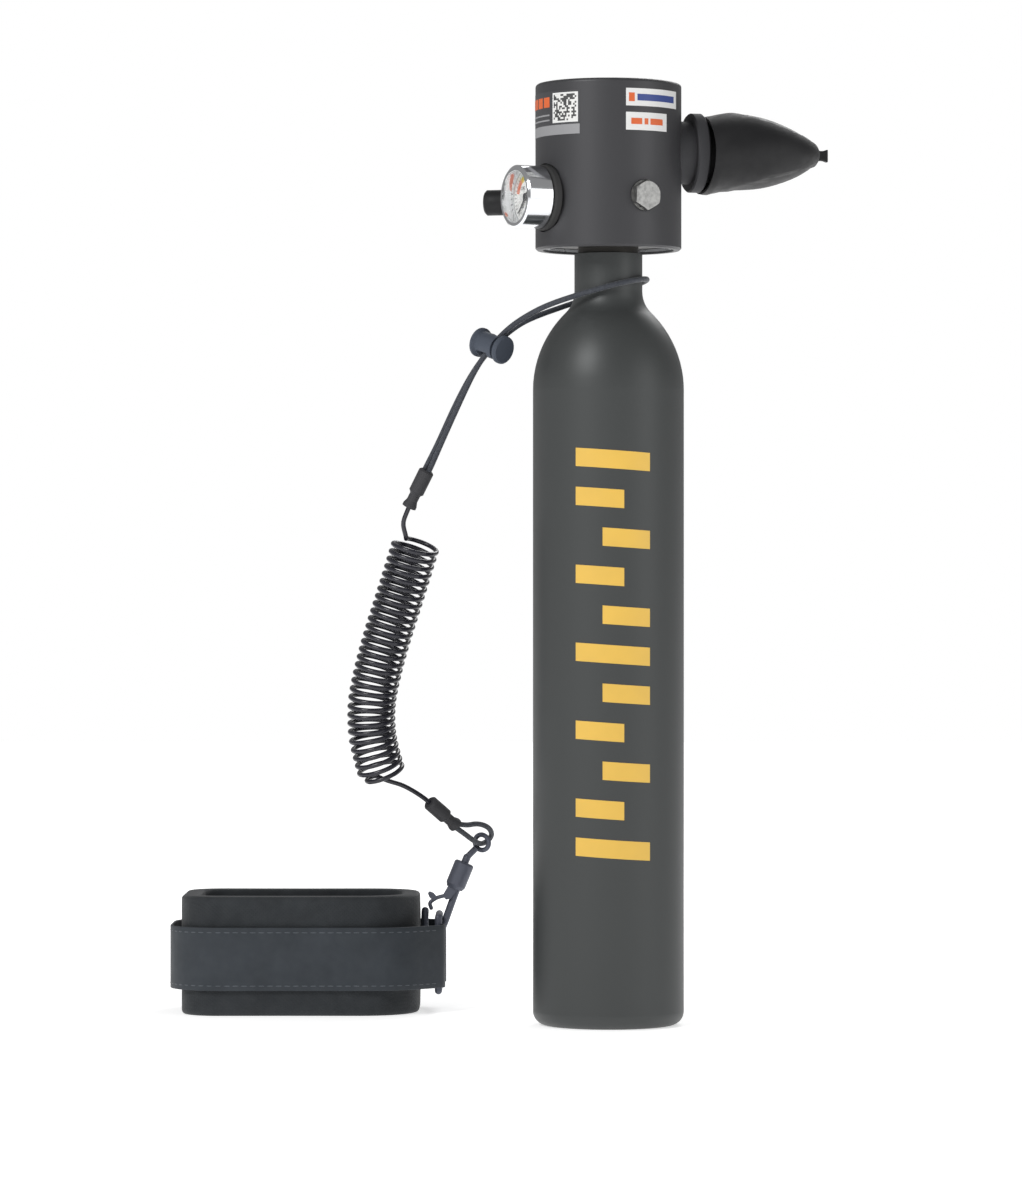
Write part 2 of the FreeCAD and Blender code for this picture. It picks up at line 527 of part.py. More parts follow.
def exhaust():
    """The mushroom valve and its slotted cover at the back of the head."""
    valve = lathe_x([(23.4, 1.0), (23.8, 1.7), (24.6, 1.7), (25.2, 1.0), (29.55, 1.0), (29.55, 8.3),
                     (30.2, 8.1)], MOUTH_Z)
    cover = lathe_x([(29.5, 10.5), (33.6, 10.5), (35.0, 9.3)], MOUTH_Z)
    cover = cover.cut(cyl_x(9.2, 29.4, 33.6, MOUTH_Z))
    for y in (-5.0, -2.5, 0.0, 2.5, 5.0):
        half = math.sqrt(7.6 ** 2 - y ** 2)
        cover = cover.cut(box(33.0, 36.0, y - 0.6, y + 0.6, MOUTH_Z - half, MOUTH_Z + half))
    export("exhaust_valve", bearing(valve, EXHAUST_DEG))
    export("exhaust_cover", bearing(cover, EXHAUST_DEG))


# ---- mouthpiece ------------------------------------------------------------------------------------------------------
def oval_x(half_w, half_h, x0, x1, z):
    """A prism along +X with a flat-sided oval section."""
    side = half_w - half_h
    oval = box(x0, x1, -side, side, z - half_h, z + half_h)
    return oval.fuse(cyl_x(half_h, x0, x1, z, -side)).fuse(cyl_x(half_h, x0, x1, z, side))


def ellipse_x(x, half_w, half_h):
    """An upright ellipse across the mouthpiece's line."""
    centre = V(x, 0, MOUTH_Z)
    curve = Part.Ellipse(centre + V(0, half_w, 0), centre + V(0, 0, half_h), centre)
    return Part.Wire(curve.toShape())


def mouthpiece_cover():
    """The soft cap over the mouthpiece: a hollow tapered form with a pull tab at its nose."""
    wall = 1.6
    outline = [(38.6, 20.6, 16.2), (41.5, 21.4, 16.8), (46.0, 22.2, 16.0), (52.0, 22.8, 14.5),
               (58.0, 23.0, 13.0), (64.0, 22.4, 11.5), (70.0, 20.6, 10.2), (76.0, 17.2, 8.3),
               (80.0, 14.0, 6.6), (84.0, 9.6, 4.4), (87.2, 4.2, 2.0)]
    outer = Part.makeLoft([ellipse_x(x, w, h) for x, w, h in outline], True, False)
    inside = [(x - 0.2, w - wall, h - wall) for x, w, h in outline[:-1]]
    inner = Part.makeLoft([ellipse_x(x, w, h) for x, w, h in inside], True, False)
    return outer.cut(inner).fuse(box(86.0, 91.0, -1.5, 1.5, MOUTH_Z - 2.7, MOUTH_Z + 2.7))


def mouthpiece_group():
    """The port that screws into the head, its lock ring, the bite mouthpiece and its cover."""
    z = MOUTH_Z
    port = lathe_x([(26.2, 12.5), (38.0, 12.5), (38.0, 10.5), (50.0, 10.5)], z).cut(cyl_x(8.5, 26, 51, z))
    ring = lathe_x([(33.0, 15.2), (33.6, 15.75), (37.4, 15.75), (38.0, 15.2)], z)
    ring = ring.cut(cyl_x(12.5, 32, 39, z))
    bite = lathe_x([(38.4, 11.5), (51.0, 11.5), (56.0, 10.4)], z)
    bite = bite.fuse(oval_x(17.0, 9.8, 55.5, 58.0, z))
    bite = bite.cut(cyl_x(10.55, 38.0, 50.5, z)).cut(cyl_x(8.5, 50.0, 59.0, z))
    for sign in (-1, 1):
        y0, y1 = sorted((sign * 10.5, sign * 16.5))
        bite = bite.fuse(box(57.5, 67.0, y0, y1, z - 1.6, z + 1.6))
        bite = bite.fuse(box(65.0, 67.4, y0, y1, z - 3.2, z + 3.2))
    for node, shape in (("mouthpiece_port", port), ("port_ring", ring), ("mouthpiece", bite),
                        ("mouthpiece_cover", mouthpiece_cover())):
        export(node, bearing(shape, MOUTH_DEG))


# ---- lanyard ------------------------------------------------------------------------------------------------------------
def lock_window(reach):
    """The skewed hole that both strands pass through; reach lengthens it along the lock's axis."""
    along = V(LOCK_CORD_DIR).normalize()
    axis = V(LOCK_AXIS).normalize()
    across = (axis - along * axis.dot(along)).normalize()
    window = Part.makeBox(24.0, 5.2 + reach, 4.8, V(-12.0, -2.6, -2.4))
    third = along.cross(across)
    matrix = FreeCAD.Matrix(along.x, across.x, third.x, LOCK_C.x, along.y, across.y, third.y, LOCK_C.y,
                            along.z, across.z, third.z, LOCK_C.z, 0, 0, 0, 1)
    window.Placement = FreeCAD.Placement(matrix)
    return window


def cord_lock():
    """A spring cord lock: a flanged barrel, a plunger button and the spring between them."""
    axis = V(LOCK_AXIS).normalize()
    start = LOCK_C - axis * 7.3
    end = LOCK_C + axis * 7.3
    body = lathe_between([(0.0, 5.2), (0.5, 5.9), (1.4, 5.9), (2.2, 4.8), (10.9, 4.8)], start, end)
    body = body.cut(Part.makeCylinder(3.3, 20, start + axis, axis))
    plunger = lathe_between([(3.9, 3.2), (12.9, 3.2), (12.9, 5.7), (14.0, 5.7), (14.6, 5.0)], start, end)
    spring = coil_spring("cord_lock_spring", 2.2, 0.5, 3, 2.7, start + axis * 1.1, axis)
    export("cord_lock_body", body.cut(lock_window(0.0)))
    export("cord_lock_plunger", plunger.cut(lock_window(LOCK_PRESS)))
    export("cord_lock_spring", spring)


def sleeve(ends, cords):
    """A moulded crimp sleeve that takes the cords' ends."""
    body = lathe_between(SLEEVE_PROFILE, *ends)
    for cord in cords:
        body = body.cut(cord)
    return body


def lanyard_cords():
    """The neck loop, the coil with its two leads, the end loop and the two sleeves."""
    neck = route_tube(NECK_ROUTE, CORD_D, "neck_cord")
    coil = route_tube(COIL_ROUTE, COIL_D, "coil_body")
    top = route_tube(LEAD_TOP_ROUTE, COIL_CORD_D, "coil_lead_top")
    bottom = route_tube(LEAD_BOTTOM_ROUTE, COIL_CORD_D, "coil_lead_bottom")
    loop = route_tube(END_LOOP_ROUTE, COIL_CORD_D, "end_loop")
    export("neck_cord", neck)
    export("coil_body", coil)
    export("coil_lead_top", top.cut(coil))
    export("coil_lead_bottom", bottom.cut(coil))
    export("end_loop", loop)
    export("upper_sleeve", sleeve(UPPER_SLEEVE, (neck, top)))
    export("lower_sleeve", sleeve(LOWER_SLEEVE, (bottom, loop)))


def swivel_eye():
    """The ring that the end loop passes through, on a headed shank that turns in the hook's barrel."""
    up = (BARREL_TOP - BARREL_END).normalize()
    shank = Part.makeCylinder(1.55, 6.9, BARREL_TOP - up * 4.4, up)
    shank = shank.fuse(Part.makeCylinder(2.7, 1.5, BARREL_TOP - up * 4.4, up))
    top = BARREL_TOP + up * 2.3
    rim = EYE_C + (top - EYE_C).normalize() * 3.2
    shank = shank.fuse(Part.makeSphere(1.55, top)).fuse(Part.makeCylinder(1.3, (rim - top).Length, top, rim - top))
    return shank.fuse(Part.makeTorus(3.2, 1.0, EYE_C, EYE_NORMAL))


def gate_plate(y0, y1):
    """One cheek that carries the gate's pin under the barrel."""
    outline = [(-66.8, 47.2), (-65.4, 45.6), (-63.4, 46.0), (-59.8, 51.0), (-63.6, 52.8), (-66.8, 47.2)]
    return Part.Face(Part.makePolygon([V(x, y0, z) for x, z in outline])).extrude(V(0, y1 - y0, 0))


def snap_hook():
    """Barrel, hook and nose in one casting, with the pin that carries the gate."""
    axis = (BARREL_END - BARREL_TOP).normalize()
    length = (BARREL_END - BARREL_TOP).Length
    hook = lathe_between([(0.0, 3.5), (0.6, HOOK_BARREL_R), (length - 1.6, HOOK_BARREL_R),
                          (length, 3.3)], BARREL_TOP, BARREL_END)
    hook = hook.cut(Part.makeCylinder(1.62, 3.0, BARREL_TOP, axis))
    hook = hook.cut(Part.makeCylinder(2.8, 1.9, BARREL_TOP + axis * 2.7, axis))
    hook = hook.fuse(route_tube(HOOK_ROUTE, 2 * HOOK_WIRE_R, "snap_hook"))
    hook = hook.fuse(Part.makeSphere(HOOK_WIRE_R, V(*HOOK_ROUTE[-1])))
    for y0, y1 in ((67.6, 68.7), (71.3, 72.4)):
        hook = hook.fuse(gate_plate(y0, y1))
    clearance = cyl_y(1.9, 68.7, 71.3, GATE_PIVOT.x, GATE_PIVOT.z)
    hook = hook.cut(clearance)
    return hook.fuse(cyl_y(0.7, 67.6, 72.4, GATE_PIVOT.x, GATE_PIVOT.z))


def hook_gate():
    """The sprung gate with its thumb tab."""
    gate = cyl_y(1.6, 68.85, 71.15, GATE_PIVOT.x, GATE_PIVOT.z)
    gate = gate.fuse(route_tube(GATE_ROUTE, 2 * GATE_WIRE_R, "hook_gate"))
    gate = gate.fuse(Part.makeSphere(GATE_WIRE_R, V(*GATE_ROUTE[-1])))
    outline = [(-68.8, 46.2), (-70.6, 48.3), (-72.2, 48.9), (-72.9, 48.2), (-72.3, 46.6), (-70.8, 45.2),
               (-68.8, 46.2)]
    tab = Part.Face(Part.makePolygon([V(x, 68.8, z) for x, z in outline])).extrude(V(0, 2.4, 0))
    return gate.fuse(tab).cut(cyl_y(0.75, 67, 73, GATE_PIVOT.x, GATE_PIVOT.z))


def strap_ring():
    """A rectangular wire ring standing on edge between the webbing's two wraps."""
    y0, y1 = RING_Y
    z0, z1 = RING_Z
    ring = cyl_z(RING_WIRE_R, z0, z1, RING_X, y0).fuse(cyl_z(RING_WIRE_R, z0, z1, RING_X, y1))
    ring = ring.fuse(cyl_y(RING_WIRE_R, y0, y1, RING_X, z0)).fuse(cyl_y(RING_WIRE_R, y0, y1, RING_X, z1))
    for y in RING_Y:
        for z in RING_Z:
            ring = ring.fuse(Part.makeSphere(RING_WIRE_R, V(RING_X, y, z)))
    return ring


def strap_pad():
    """The padded wrist loop, standing on its edge."""
    return rounded_prism(PAD_PLAN, 0.0, PAD_TOP).cut(rounded_prism(PAD_PLAN, 0.0, PAD_TOP, PAD_WALL))


def strap_band():
    """The webbing round the pad, each end wrapped round one bar of the ring."""
    z0, z1 = BAND_Z
    y0, y1 = RING_Y
    band = rounded_prism(BAND_PLAN, z0, z1).cut(rounded_prism(BAND_PLAN, z0, z1, BAND_THICK))
    band = band.cut(box(-72.0, -60.0, y0, y1, z0, z1))
    inner_r = RING_WIRE_R + 0.1
    for y in RING_Y:
        wrap = cyl_z(inner_r + BAND_THICK, z0, z1, RING_X, y)
        band = band.fuse(wrap).cut(cyl_z(inner_r, z0, z1, RING_X, y))
    return band


def main():
    """Build every node and write it."""
    os.makedirs(OUT_DIR, exist_ok=True)
    export("cylinder", cylinder())
    export("neck_o_ring", torus_z(8.2, 0.8, 305.0))
    export("valve_body", valve_body())
    export("inlet_filter", inlet_filter())
    export("valve_seat", valve_seat())
    export("first_stage_piston", first_stage_piston())
    export("piston_o_ring", torus_z(9.27, 0.75, 324.0))
    export("piston_spring", coil_spring("piston_spring", 7.0, 1.4, 3, 7.9, V(0, 0, PISTON_BORE_Z + 0.05), Z_AXIS))
    export("first_stage_cap", first_stage_cap())
    export("body_o_ring", torus_z(25.1, 0.8, 333.25))
    export("retaining_circlip", retaining_circlip())
    export("head_housing", head_housing())
    gauge()
    burst_plug()
    fill_valve()
    demand_valve()
    export("diaphragm", diaphragm())
    export("diaphragm_plate", cyl_z(13.0, PLATE_Z, PLATE_Z + 1.0))
    export("top_cover", top_cover())
    export("purge_button", purge_button())
    export("purge_spring", coil_spring("purge_spring", 8.0, 0.8, 3, 4.9, V(0, 0, 362.45), Z_AXIS))
    exhaust()
    mouthpiece_group()
    cord_lock()
    lanyard_cords()
    export("swivel_eye", swivel_eye())
    export("snap_hook", snap_hook())
    export("hook_gate", hook_gate())
    export("strap_ring", strap_ring())
    export("strap_band", strap_band())
    export("strap_pad", strap_pad())


main()
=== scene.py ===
"""Looks for a mini scuba tank: its finishes, printed marks, soft cover, padded wrist strap and lanyard cords.

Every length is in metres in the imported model's frame: origin at the middle of the bottle's base, +Z up the
bottle, -Y towards the front, +X on the mouthpiece's side.  `MM` turns the maker's millimetres into metres.
"""
from __future__ import annotations

import json
import logging
import math
from dataclasses import dataclass
from enum import Enum
from typing import Callable, Sequence

import bpy
from mathutils import Matrix, Vector

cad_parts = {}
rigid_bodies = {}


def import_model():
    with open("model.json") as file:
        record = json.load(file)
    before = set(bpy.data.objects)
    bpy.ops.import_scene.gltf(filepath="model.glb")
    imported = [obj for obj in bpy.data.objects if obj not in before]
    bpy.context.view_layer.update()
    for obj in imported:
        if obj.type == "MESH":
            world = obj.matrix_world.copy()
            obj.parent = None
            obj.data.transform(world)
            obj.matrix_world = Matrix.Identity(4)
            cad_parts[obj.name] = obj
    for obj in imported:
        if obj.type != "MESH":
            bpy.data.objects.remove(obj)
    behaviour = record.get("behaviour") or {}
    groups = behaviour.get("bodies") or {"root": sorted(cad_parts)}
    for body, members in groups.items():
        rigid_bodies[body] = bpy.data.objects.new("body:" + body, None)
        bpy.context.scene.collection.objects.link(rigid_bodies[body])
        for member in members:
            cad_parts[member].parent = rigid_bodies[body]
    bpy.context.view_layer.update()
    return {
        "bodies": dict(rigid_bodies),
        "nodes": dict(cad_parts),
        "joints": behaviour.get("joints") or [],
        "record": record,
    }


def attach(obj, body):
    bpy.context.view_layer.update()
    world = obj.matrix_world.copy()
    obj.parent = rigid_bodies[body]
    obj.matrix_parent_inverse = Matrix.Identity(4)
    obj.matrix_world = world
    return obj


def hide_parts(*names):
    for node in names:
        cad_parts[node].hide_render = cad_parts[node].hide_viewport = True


MM = 0.001
LOG = logging.getLogger("mini_scuba_tank")
Colour = tuple[float, float, float]
Point = tuple[float, float, float]


# ---- finishes ---------------------------------------------------------------------------------------
class Grain(Enum):
    """The fine relief that a finish carries."""

    PEEL = "peel"
    BRUSHED = "brushed"
    MOULDED = "moulded"
    WEAVE = "weave"
    KNIT = "knit"
    BRAID = "braid"
    NONE = "none"


class Nodes:
    """A short way to write a material's node tree."""

    def __init__(self, name: str) -> None:
        """Start a material with one surface shader.

        Args:
            name: the material's name.
        """
        self.material = bpy.data.materials.new(name)
        self.material.use_nodes = True
        self.tree = self.material.node_tree
        self.shader = self.tree.nodes["Principled BSDF"]

    def add(self, kind: str, **values: object) -> bpy.types.Node:
        """Add one node.

        Args:
            kind: the node's type, without its ShaderNode prefix.
            values: property values, or input values where the name starts with in_.

        Returns:
            The new node.
        """
        node = self.tree.nodes.new("ShaderNode" + kind)
        for key, value in values.items():
            if key.startswith("in_"):
                node.inputs[key[3:].replace("_", " ")].default_value = value
            else:
                setattr(node, key, value)
        return node

    def link(self, out: bpy.types.NodeSocket, into: bpy.types.NodeSocket) -> None:
        """Join two sockets."""
        self.tree.links.new(out, into)

    def coordinates(self, kind: str = "Object", scale: Point = (1.0, 1.0, 1.0),
                    turn: Point = (0.0, 0.0, 0.0)) -> bpy.types.NodeSocket:
        """A scaled and turned coordinate.

        Args:
            kind: Object or UV.
            scale: factor along each axis.
            turn: rotation about each axis, in radians.

        Returns:
            The coordinate's socket.
        """
        where = self.add("TexCoord")
        mapping = self.add("Mapping", in_Scale=scale, in_Rotation=turn)
        self.link(where.outputs[kind], mapping.inputs["Vector"])
        return mapping.outputs["Vector"]

    def noise(self, vector: bpy.types.NodeSocket, scale: float, detail: float = 3.0) -> bpy.types.NodeSocket:
        """Soft noise at a scale.

        Args:
            vector: the coordinate.
            scale: cycles per metre.
            detail: octaves.

        Returns:
            The noise value's socket.
        """
        node = self.add("TexNoise", in_Scale=scale, in_Detail=detail)
        self.link(vector, node.inputs["Vector"])
        return node.outputs["Fac"]

    def wave(self, vector: bpy.types.NodeSocket, period: float, axis: str) -> bpy.types.NodeSocket:
        """Even parallel ridges.

        Args:
            vector: the coordinate.
            period: distance between ridges, in metres.
            axis: X, Y, Z or DIAGONAL.

        Returns:
            The ridge height's socket.
        """
        node = self.add("TexWave", bands_direction=axis, in_Scale=math.pi / (10.0 * period))
        self.link(vector, node.inputs["Vector"])
        return node.outputs["Fac"]

    def combine(self, how: str, first: bpy.types.NodeSocket,
                second: bpy.types.NodeSocket | float) -> bpy.types.NodeSocket:
        """One arithmetic step on two values.

        Args:
            how: the Math node's operation.
            first: a value socket.
            second: a value socket or a number.

        Returns:
            The result's socket.
        """
        node = self.add("Math", operation=how)
        self.link(first, node.inputs[0])
        if isinstance(second, float):
            node.inputs[1].default_value = second
        else:
            self.link(second, node.inputs[1])
        return node.outputs[0]

    def spread(self, value: bpy.types.NodeSocket, low: float, high: float) -> bpy.types.NodeSocket:
        """Stretch a 0.3 to 0.7 noise over a range.

        Args:
            value: the noise.
            low: result where the noise is low.
            high: result where the noise is high.

        Returns:
            The stretched value's socket.
        """
        node = self.add("MapRange")
        self.link(value, node.inputs["Value"])
        for key, number in (("From Min", 0.3), ("From Max", 0.7), ("To Min", low), ("To Max", high)):
            node.inputs[key].default_value = number
        return node.outputs["Result"]

    def blend(self, factor: bpy.types.NodeSocket, dark: Colour, light: Colour) -> bpy.types.NodeSocket:
        """A colour between two, by a factor.

        Args:
            factor: 0 for dark, 1 for light.
            dark: the first colour.
            light: the second colour.

        Returns:
            The colour's socket.
        """
        ramp = self.add("ValToRGB")
        ramp.color_ramp.elements[0].color = (*dark, 1.0)
        ramp.color_ramp.elements[1].color = (*light, 1.0)
        self.link(factor, ramp.inputs["Fac"])
        return ramp.outputs["Color"]

    def bump(self, height: bpy.types.NodeSocket, strength: float, distance: float) -> None:
        """Put a relief on the shader.

        Args:
            height: relief height, 0 to 1.
            strength: how much of it shows.
            distance: the relief's depth, in metres.
        """
        node = self.add("Bump", in_Strength=strength, in_Distance=distance)
        self.link(height, node.inputs["Height"])
        self.link(node.outputs["Normal"], self.shader.inputs["Normal"])


@dataclass(frozen=True)
class Finish:
    """One surface finish: colour, mottling, gloss and grain."""

    name: str
    slot: str
    colour: Colour
    mottle: Colour
    rough: float
    rough_swing: float = 0.05
    metal: float = 0.0
    grain: Grain = Grain.PEEL
    grain_size: float = 0.5 * MM
    relief: float = 0.2
    depth: float = 0.05 * MM
    mottle_size: float = 12.0 * MM
    coat: float = 0.0
    sheen: float = 0.0
    specular: float = 0.5
    uv: bool = False

    def height(self, tree: Nodes) -> bpy.types.NodeSocket | None:
        """The grain's relief.

        Args:
            tree: the material being written.

        Returns:
            The relief's socket, or None where the finish is plain.
        """
        kind = "UV" if self.uv else "Object"
        flat = tree.coordinates(kind)
        size = self.grain_size
        if self.grain is Grain.BRUSHED:
            return tree.noise(tree.coordinates(kind, (1.0, 1.0, 18.0)), 1.0 / size / 6.0, 4.0)
        if self.grain is Grain.WEAVE:
            across = tree.combine("MULTIPLY", tree.wave(flat, size, "X"), tree.wave(flat, 2.0 * size, "Y"))
            along = tree.combine("MULTIPLY", tree.wave(flat, 2.0 * size, "X"), tree.wave(flat, size, "Y"))
            return tree.combine("ADD", across, along)
        if self.grain is Grain.KNIT:
            ribs = tree.combine("MULTIPLY", tree.wave(flat, size, "DIAGONAL"),
                                tree.wave(tree.coordinates(kind, (-1.0, 1.0, 1.0)), size, "DIAGONAL"))
            return tree.combine("ADD", ribs, tree.noise(flat, 1.0 / size, 2.0))
        if self.grain is Grain.BRAID:
            one = tree.wave(tree.coordinates(kind), size, "DIAGONAL")
            other = tree.wave(tree.coordinates(kind, (-1.0, 1.0, 1.0)), size, "DIAGONAL")
            return tree.combine("MAXIMUM", one, other)
        if self.grain is Grain.NONE:
            return None
        return tree.noise(flat, 1.0 / size, 2.0 if self.grain is Grain.PEEL else 6.0)

    def build(self) -> bpy.types.Material:
        """Write the material.

        Returns:
            The finished material.
        """
        tree = Nodes(self.name)
        shader = tree.shader
        mottling = tree.noise(tree.coordinates(), 1.0 / self.mottle_size, 5.0)
        factor = tree.spread(mottling, 0.0, 1.0)
        tree.link(tree.blend(factor, self.colour, self.mottle), shader.inputs["Base Color"])
        scuffs = tree.noise(tree.coordinates(), 3.0 / self.mottle_size, 6.0)
        gloss = tree.spread(scuffs, self.rough - self.rough_swing, self.rough + self.rough_swing)
        tree.link(gloss, shader.inputs["Roughness"])
        shader.inputs["Metallic"].default_value = self.metal
        shader.inputs["Coat Weight"].default_value = self.coat
        shader.inputs["Coat Roughness"].default_value = 0.25
        shader.inputs["Sheen Weight"].default_value = self.sheen
        shader.inputs["Specular IOR Level"].default_value = self.specular
        relief = self.height(tree)
        if relief is not None:
            tree.bump(relief, self.relief, self.depth)
        return tree.material


@dataclass(frozen=True)
class ClearFinish:
    """A clear moulded lens."""

    name: str = "gauge_glass"
    slot: str = "clear_lens"

    def build(self) -> bpy.types.Material:
        """Write the material.

        Returns:
            The finished material.
        """
        tree = Nodes(self.name)
        shader = tree.shader
        haze = tree.noise(tree.coordinates(), 400.0, 4.0)
        tree.link(tree.spread(haze, 0.02, 0.06), shader.inputs["Roughness"])
        shader.inputs["Base Color"].default_value = (0.97, 0.99, 0.99, 1.0)
        shader.inputs["Transmission Weight"].default_value = 1.0
        shader.inputs["IOR"].default_value = 1.2
        shader.inputs["Alpha"].default_value = 0.12
        return tree.material


@dataclass(frozen=True)
class BlockPrint:
    """A generic printed pattern of small square blocks, dark on light."""

    name: str = "block_print"
    slot: str = "dial_white"
    block: float = 0.75 * MM

    def build(self) -> bpy.types.Material:
        """Write the material.

        Returns:
            The finished material.
        """
        tree = Nodes(self.name)
        snap = tree.add("VectorMath", operation="SNAP")
        snap.inputs[1].default_value = (self.block, self.block, self.block)
        tree.link(tree.coordinates("UV"), snap.inputs[0])
        cells = tree.add("TexWhiteNoise", noise_dimensions="3D")
        tree.link(snap.outputs[0], cells.inputs["Vector"])
        dark = tree.combine("GREATER_THAN", cells.outputs["Value"], 0.52)
        ink = tree.blend(dark, (0.75, 0.75, 0.73), (0.06, 0.06, 0.06))
        tree.link(ink, tree.shader.inputs["Base Color"])
        tree.shader.inputs["Roughness"].default_value = 0.45
        return tree.material


def ink(name: str, colour: Colour, slot: str = "dial_white") -> Finish:
    """A thin printed or stuck layer.

    Args:
        name: the material's name.
        colour: the ink's colour.
        slot: the record's slot.

    Returns:
        The finish.
    """
    faded = tuple(min(1.0, 0.93 * c + 0.004) for c in colour)
    return Finish(name, slot, colour, faded, 0.42, 0.06, grain=Grain.MOULDED, grain_size=0.25 * MM,
                  relief=0.08)


class Palette(Enum):
    """Every finish on the object."""

    BOTTLE = Finish("bottle_coat", "bottle_coat", (0.022, 0.022, 0.0225), (0.028, 0.028, 0.0285), 0.40, 0.035,
                    grain_size=0.45 * MM, relief=0.16, specular=0.32)
    HEAD = Finish("head_coat", "head_coat", (0.012, 0.0122, 0.0125), (0.017, 0.0172, 0.0175), 0.46, 0.04,
                  grain_size=0.35 * MM, relief=0.14, specular=0.28)
    BRASS = Finish("brass_core", "brass_core", (0.62, 0.42, 0.17), (0.70, 0.50, 0.22), 0.30, 0.08, metal=1.0,
                   grain=Grain.BRUSHED, relief=0.25)
    DARK_BRASS = Finish("blackened_brass", "brass_core", (0.030, 0.028, 0.026), (0.042, 0.039, 0.035), 0.45,
                        0.08, metal=0.6, grain=Grain.BRUSHED, relief=0.2)
    STEEL = Finish("machined_steel", "steel", (0.24, 0.24, 0.235), (0.40, 0.40, 0.39), 0.40, 0.09, metal=1.0,
                   grain=Grain.MOULDED, grain_size=0.5 * MM, relief=0.5, mottle_size=1.5 * MM)
    SPRING = Finish("spring_wire", "spring_steel", (0.50, 0.51, 0.53), (0.58, 0.59, 0.60), 0.30, 0.08,
                    metal=1.0, grain=Grain.BRUSHED, relief=0.15)
    CHROME = Finish("chrome_trim", "chrome_trim", (0.80, 0.81, 0.83), (0.86, 0.87, 0.88), 0.13, 0.05,
                    metal=1.0,
                    grain=Grain.BRUSHED, grain_size=0.25 * MM, relief=0.10)
    SEAL = Finish("seal_rubber", "seal_rubber", (0.018, 0.018, 0.019), (0.024, 0.024, 0.025), 0.60, 0.08,
                  grain=Grain.MOULDED, relief=0.2)
    SOFT = Finish("soft_silicone", "soft_black", (0.006, 0.006, 0.007), (0.010, 0.010, 0.011), 0.56, 0.07,
                  grain=Grain.MOULDED, grain_size=0.3 * MM, relief=0.18, sheen=0.04, specular=0.32)
    DIAL = Finish("dial_face", "dial_white", (0.86, 0.86, 0.84), (0.90, 0.90, 0.88), 0.50, 0.05,
                  grain=Grain.MOULDED, relief=0.05)
    MOULDED = Finish("moulded_black", "moulded_black", (0.026, 0.027, 0.030), (0.034, 0.035, 0.038), 0.50,
                     0.08,
                     grain=Grain.MOULDED, grain_size=0.4 * MM, relief=0.22)
    LOCK = Finish("lock_plastic", "lock_plastic", (0.030, 0.036, 0.052), (0.042, 0.049, 0.068), 0.42, 0.08,
                  grain=Grain.MOULDED, grain_size=0.4 * MM, relief=0.2)
    MEMBRANE = Finish("silicone_membrane", "silicone_clear", (0.60, 0.60, 0.57), (0.68, 0.68, 0.65), 0.5,
                      0.05,
                      grain=Grain.MOULDED, relief=0.1)
    CORD = Finish("braided_cord", "cord_weave", (0.020, 0.024, 0.034), (0.040, 0.046, 0.060), 0.62, 0.08,
                  grain=Grain.BRAID, grain_size=0.55 * MM, relief=0.8, depth=0.12 * MM, mottle_size=1.2 * MM,
                  sheen=0.25)
    COIL = Finish("coil_sheath", "coil_sheath", (0.004, 0.005, 0.008), (0.007, 0.008, 0.012), 0.20, 0.05,
                  grain=Grain.MOULDED, grain_size=1.0 * MM, relief=0.06, coat=0.3)
    HOOK = Finish("hook_coat", "hook_coat", (0.075, 0.085, 0.120), (0.105, 0.118, 0.155), 0.32, 0.08,
                  metal=0.85,
                  grain=Grain.PEEL, grain_size=0.5 * MM, relief=0.15, coat=0.2)
    WEBBING = Finish("woven_webbing", "webbing", (0.017, 0.023, 0.030), (0.026, 0.033, 0.042), 0.66, 0.06,
                     grain=Grain.WEAVE, grain_size=0.42 * MM, relief=0.7, depth=0.12 * MM, sheen=0.12,
                     uv=True)
    PAD = Finish("knit_neoprene", "pad_foam", (0.014, 0.017, 0.020), (0.022, 0.026, 0.030), 0.85, 0.06,
                 grain=Grain.KNIT, grain_size=0.8 * MM, relief=0.6, depth=0.12 * MM, sheen=0.15)
    THREAD = Finish("stitch_thread", "webbing", (0.060, 0.070, 0.082), (0.085, 0.097, 0.112), 0.65, 0.05,
                    grain=Grain.BRAID, grain_size=0.3 * MM, relief=0.4, sheen=0.2)
    LENS = ClearFinish()
    BLOCKS = BlockPrint()
    YELLOW = ink("yellow_print", (0.80, 0.50, 0.085), "bottle_coat")
    WHITE = ink("white_label", (0.78, 0.78, 0.77))
    SILVER = ink("grey_label", (0.30, 0.30, 0.31))
    DARK_LABEL = ink("dark_label", (0.050, 0.050, 0.054))
    ORANGE = ink("orange_print", (0.70, 0.13, 0.03))
    BLUE = ink("blue_print", (0.03, 0.06, 0.25))
    RED = ink("red_print", (0.42, 0.02, 0.015))
    GREEN = ink("green_print", (0.05, 0.30, 0.05))
    AMBER = ink("amber_print", (0.75, 0.48, 0.03))
    BLACK_INK = ink("black_print", (0.02, 0.02, 0.02))

    def material(self) -> bpy.types.Material:
        """This finish's material, written once."""
        known = bpy.data.materials.get(self.value.name)
        return known or self.value.build()


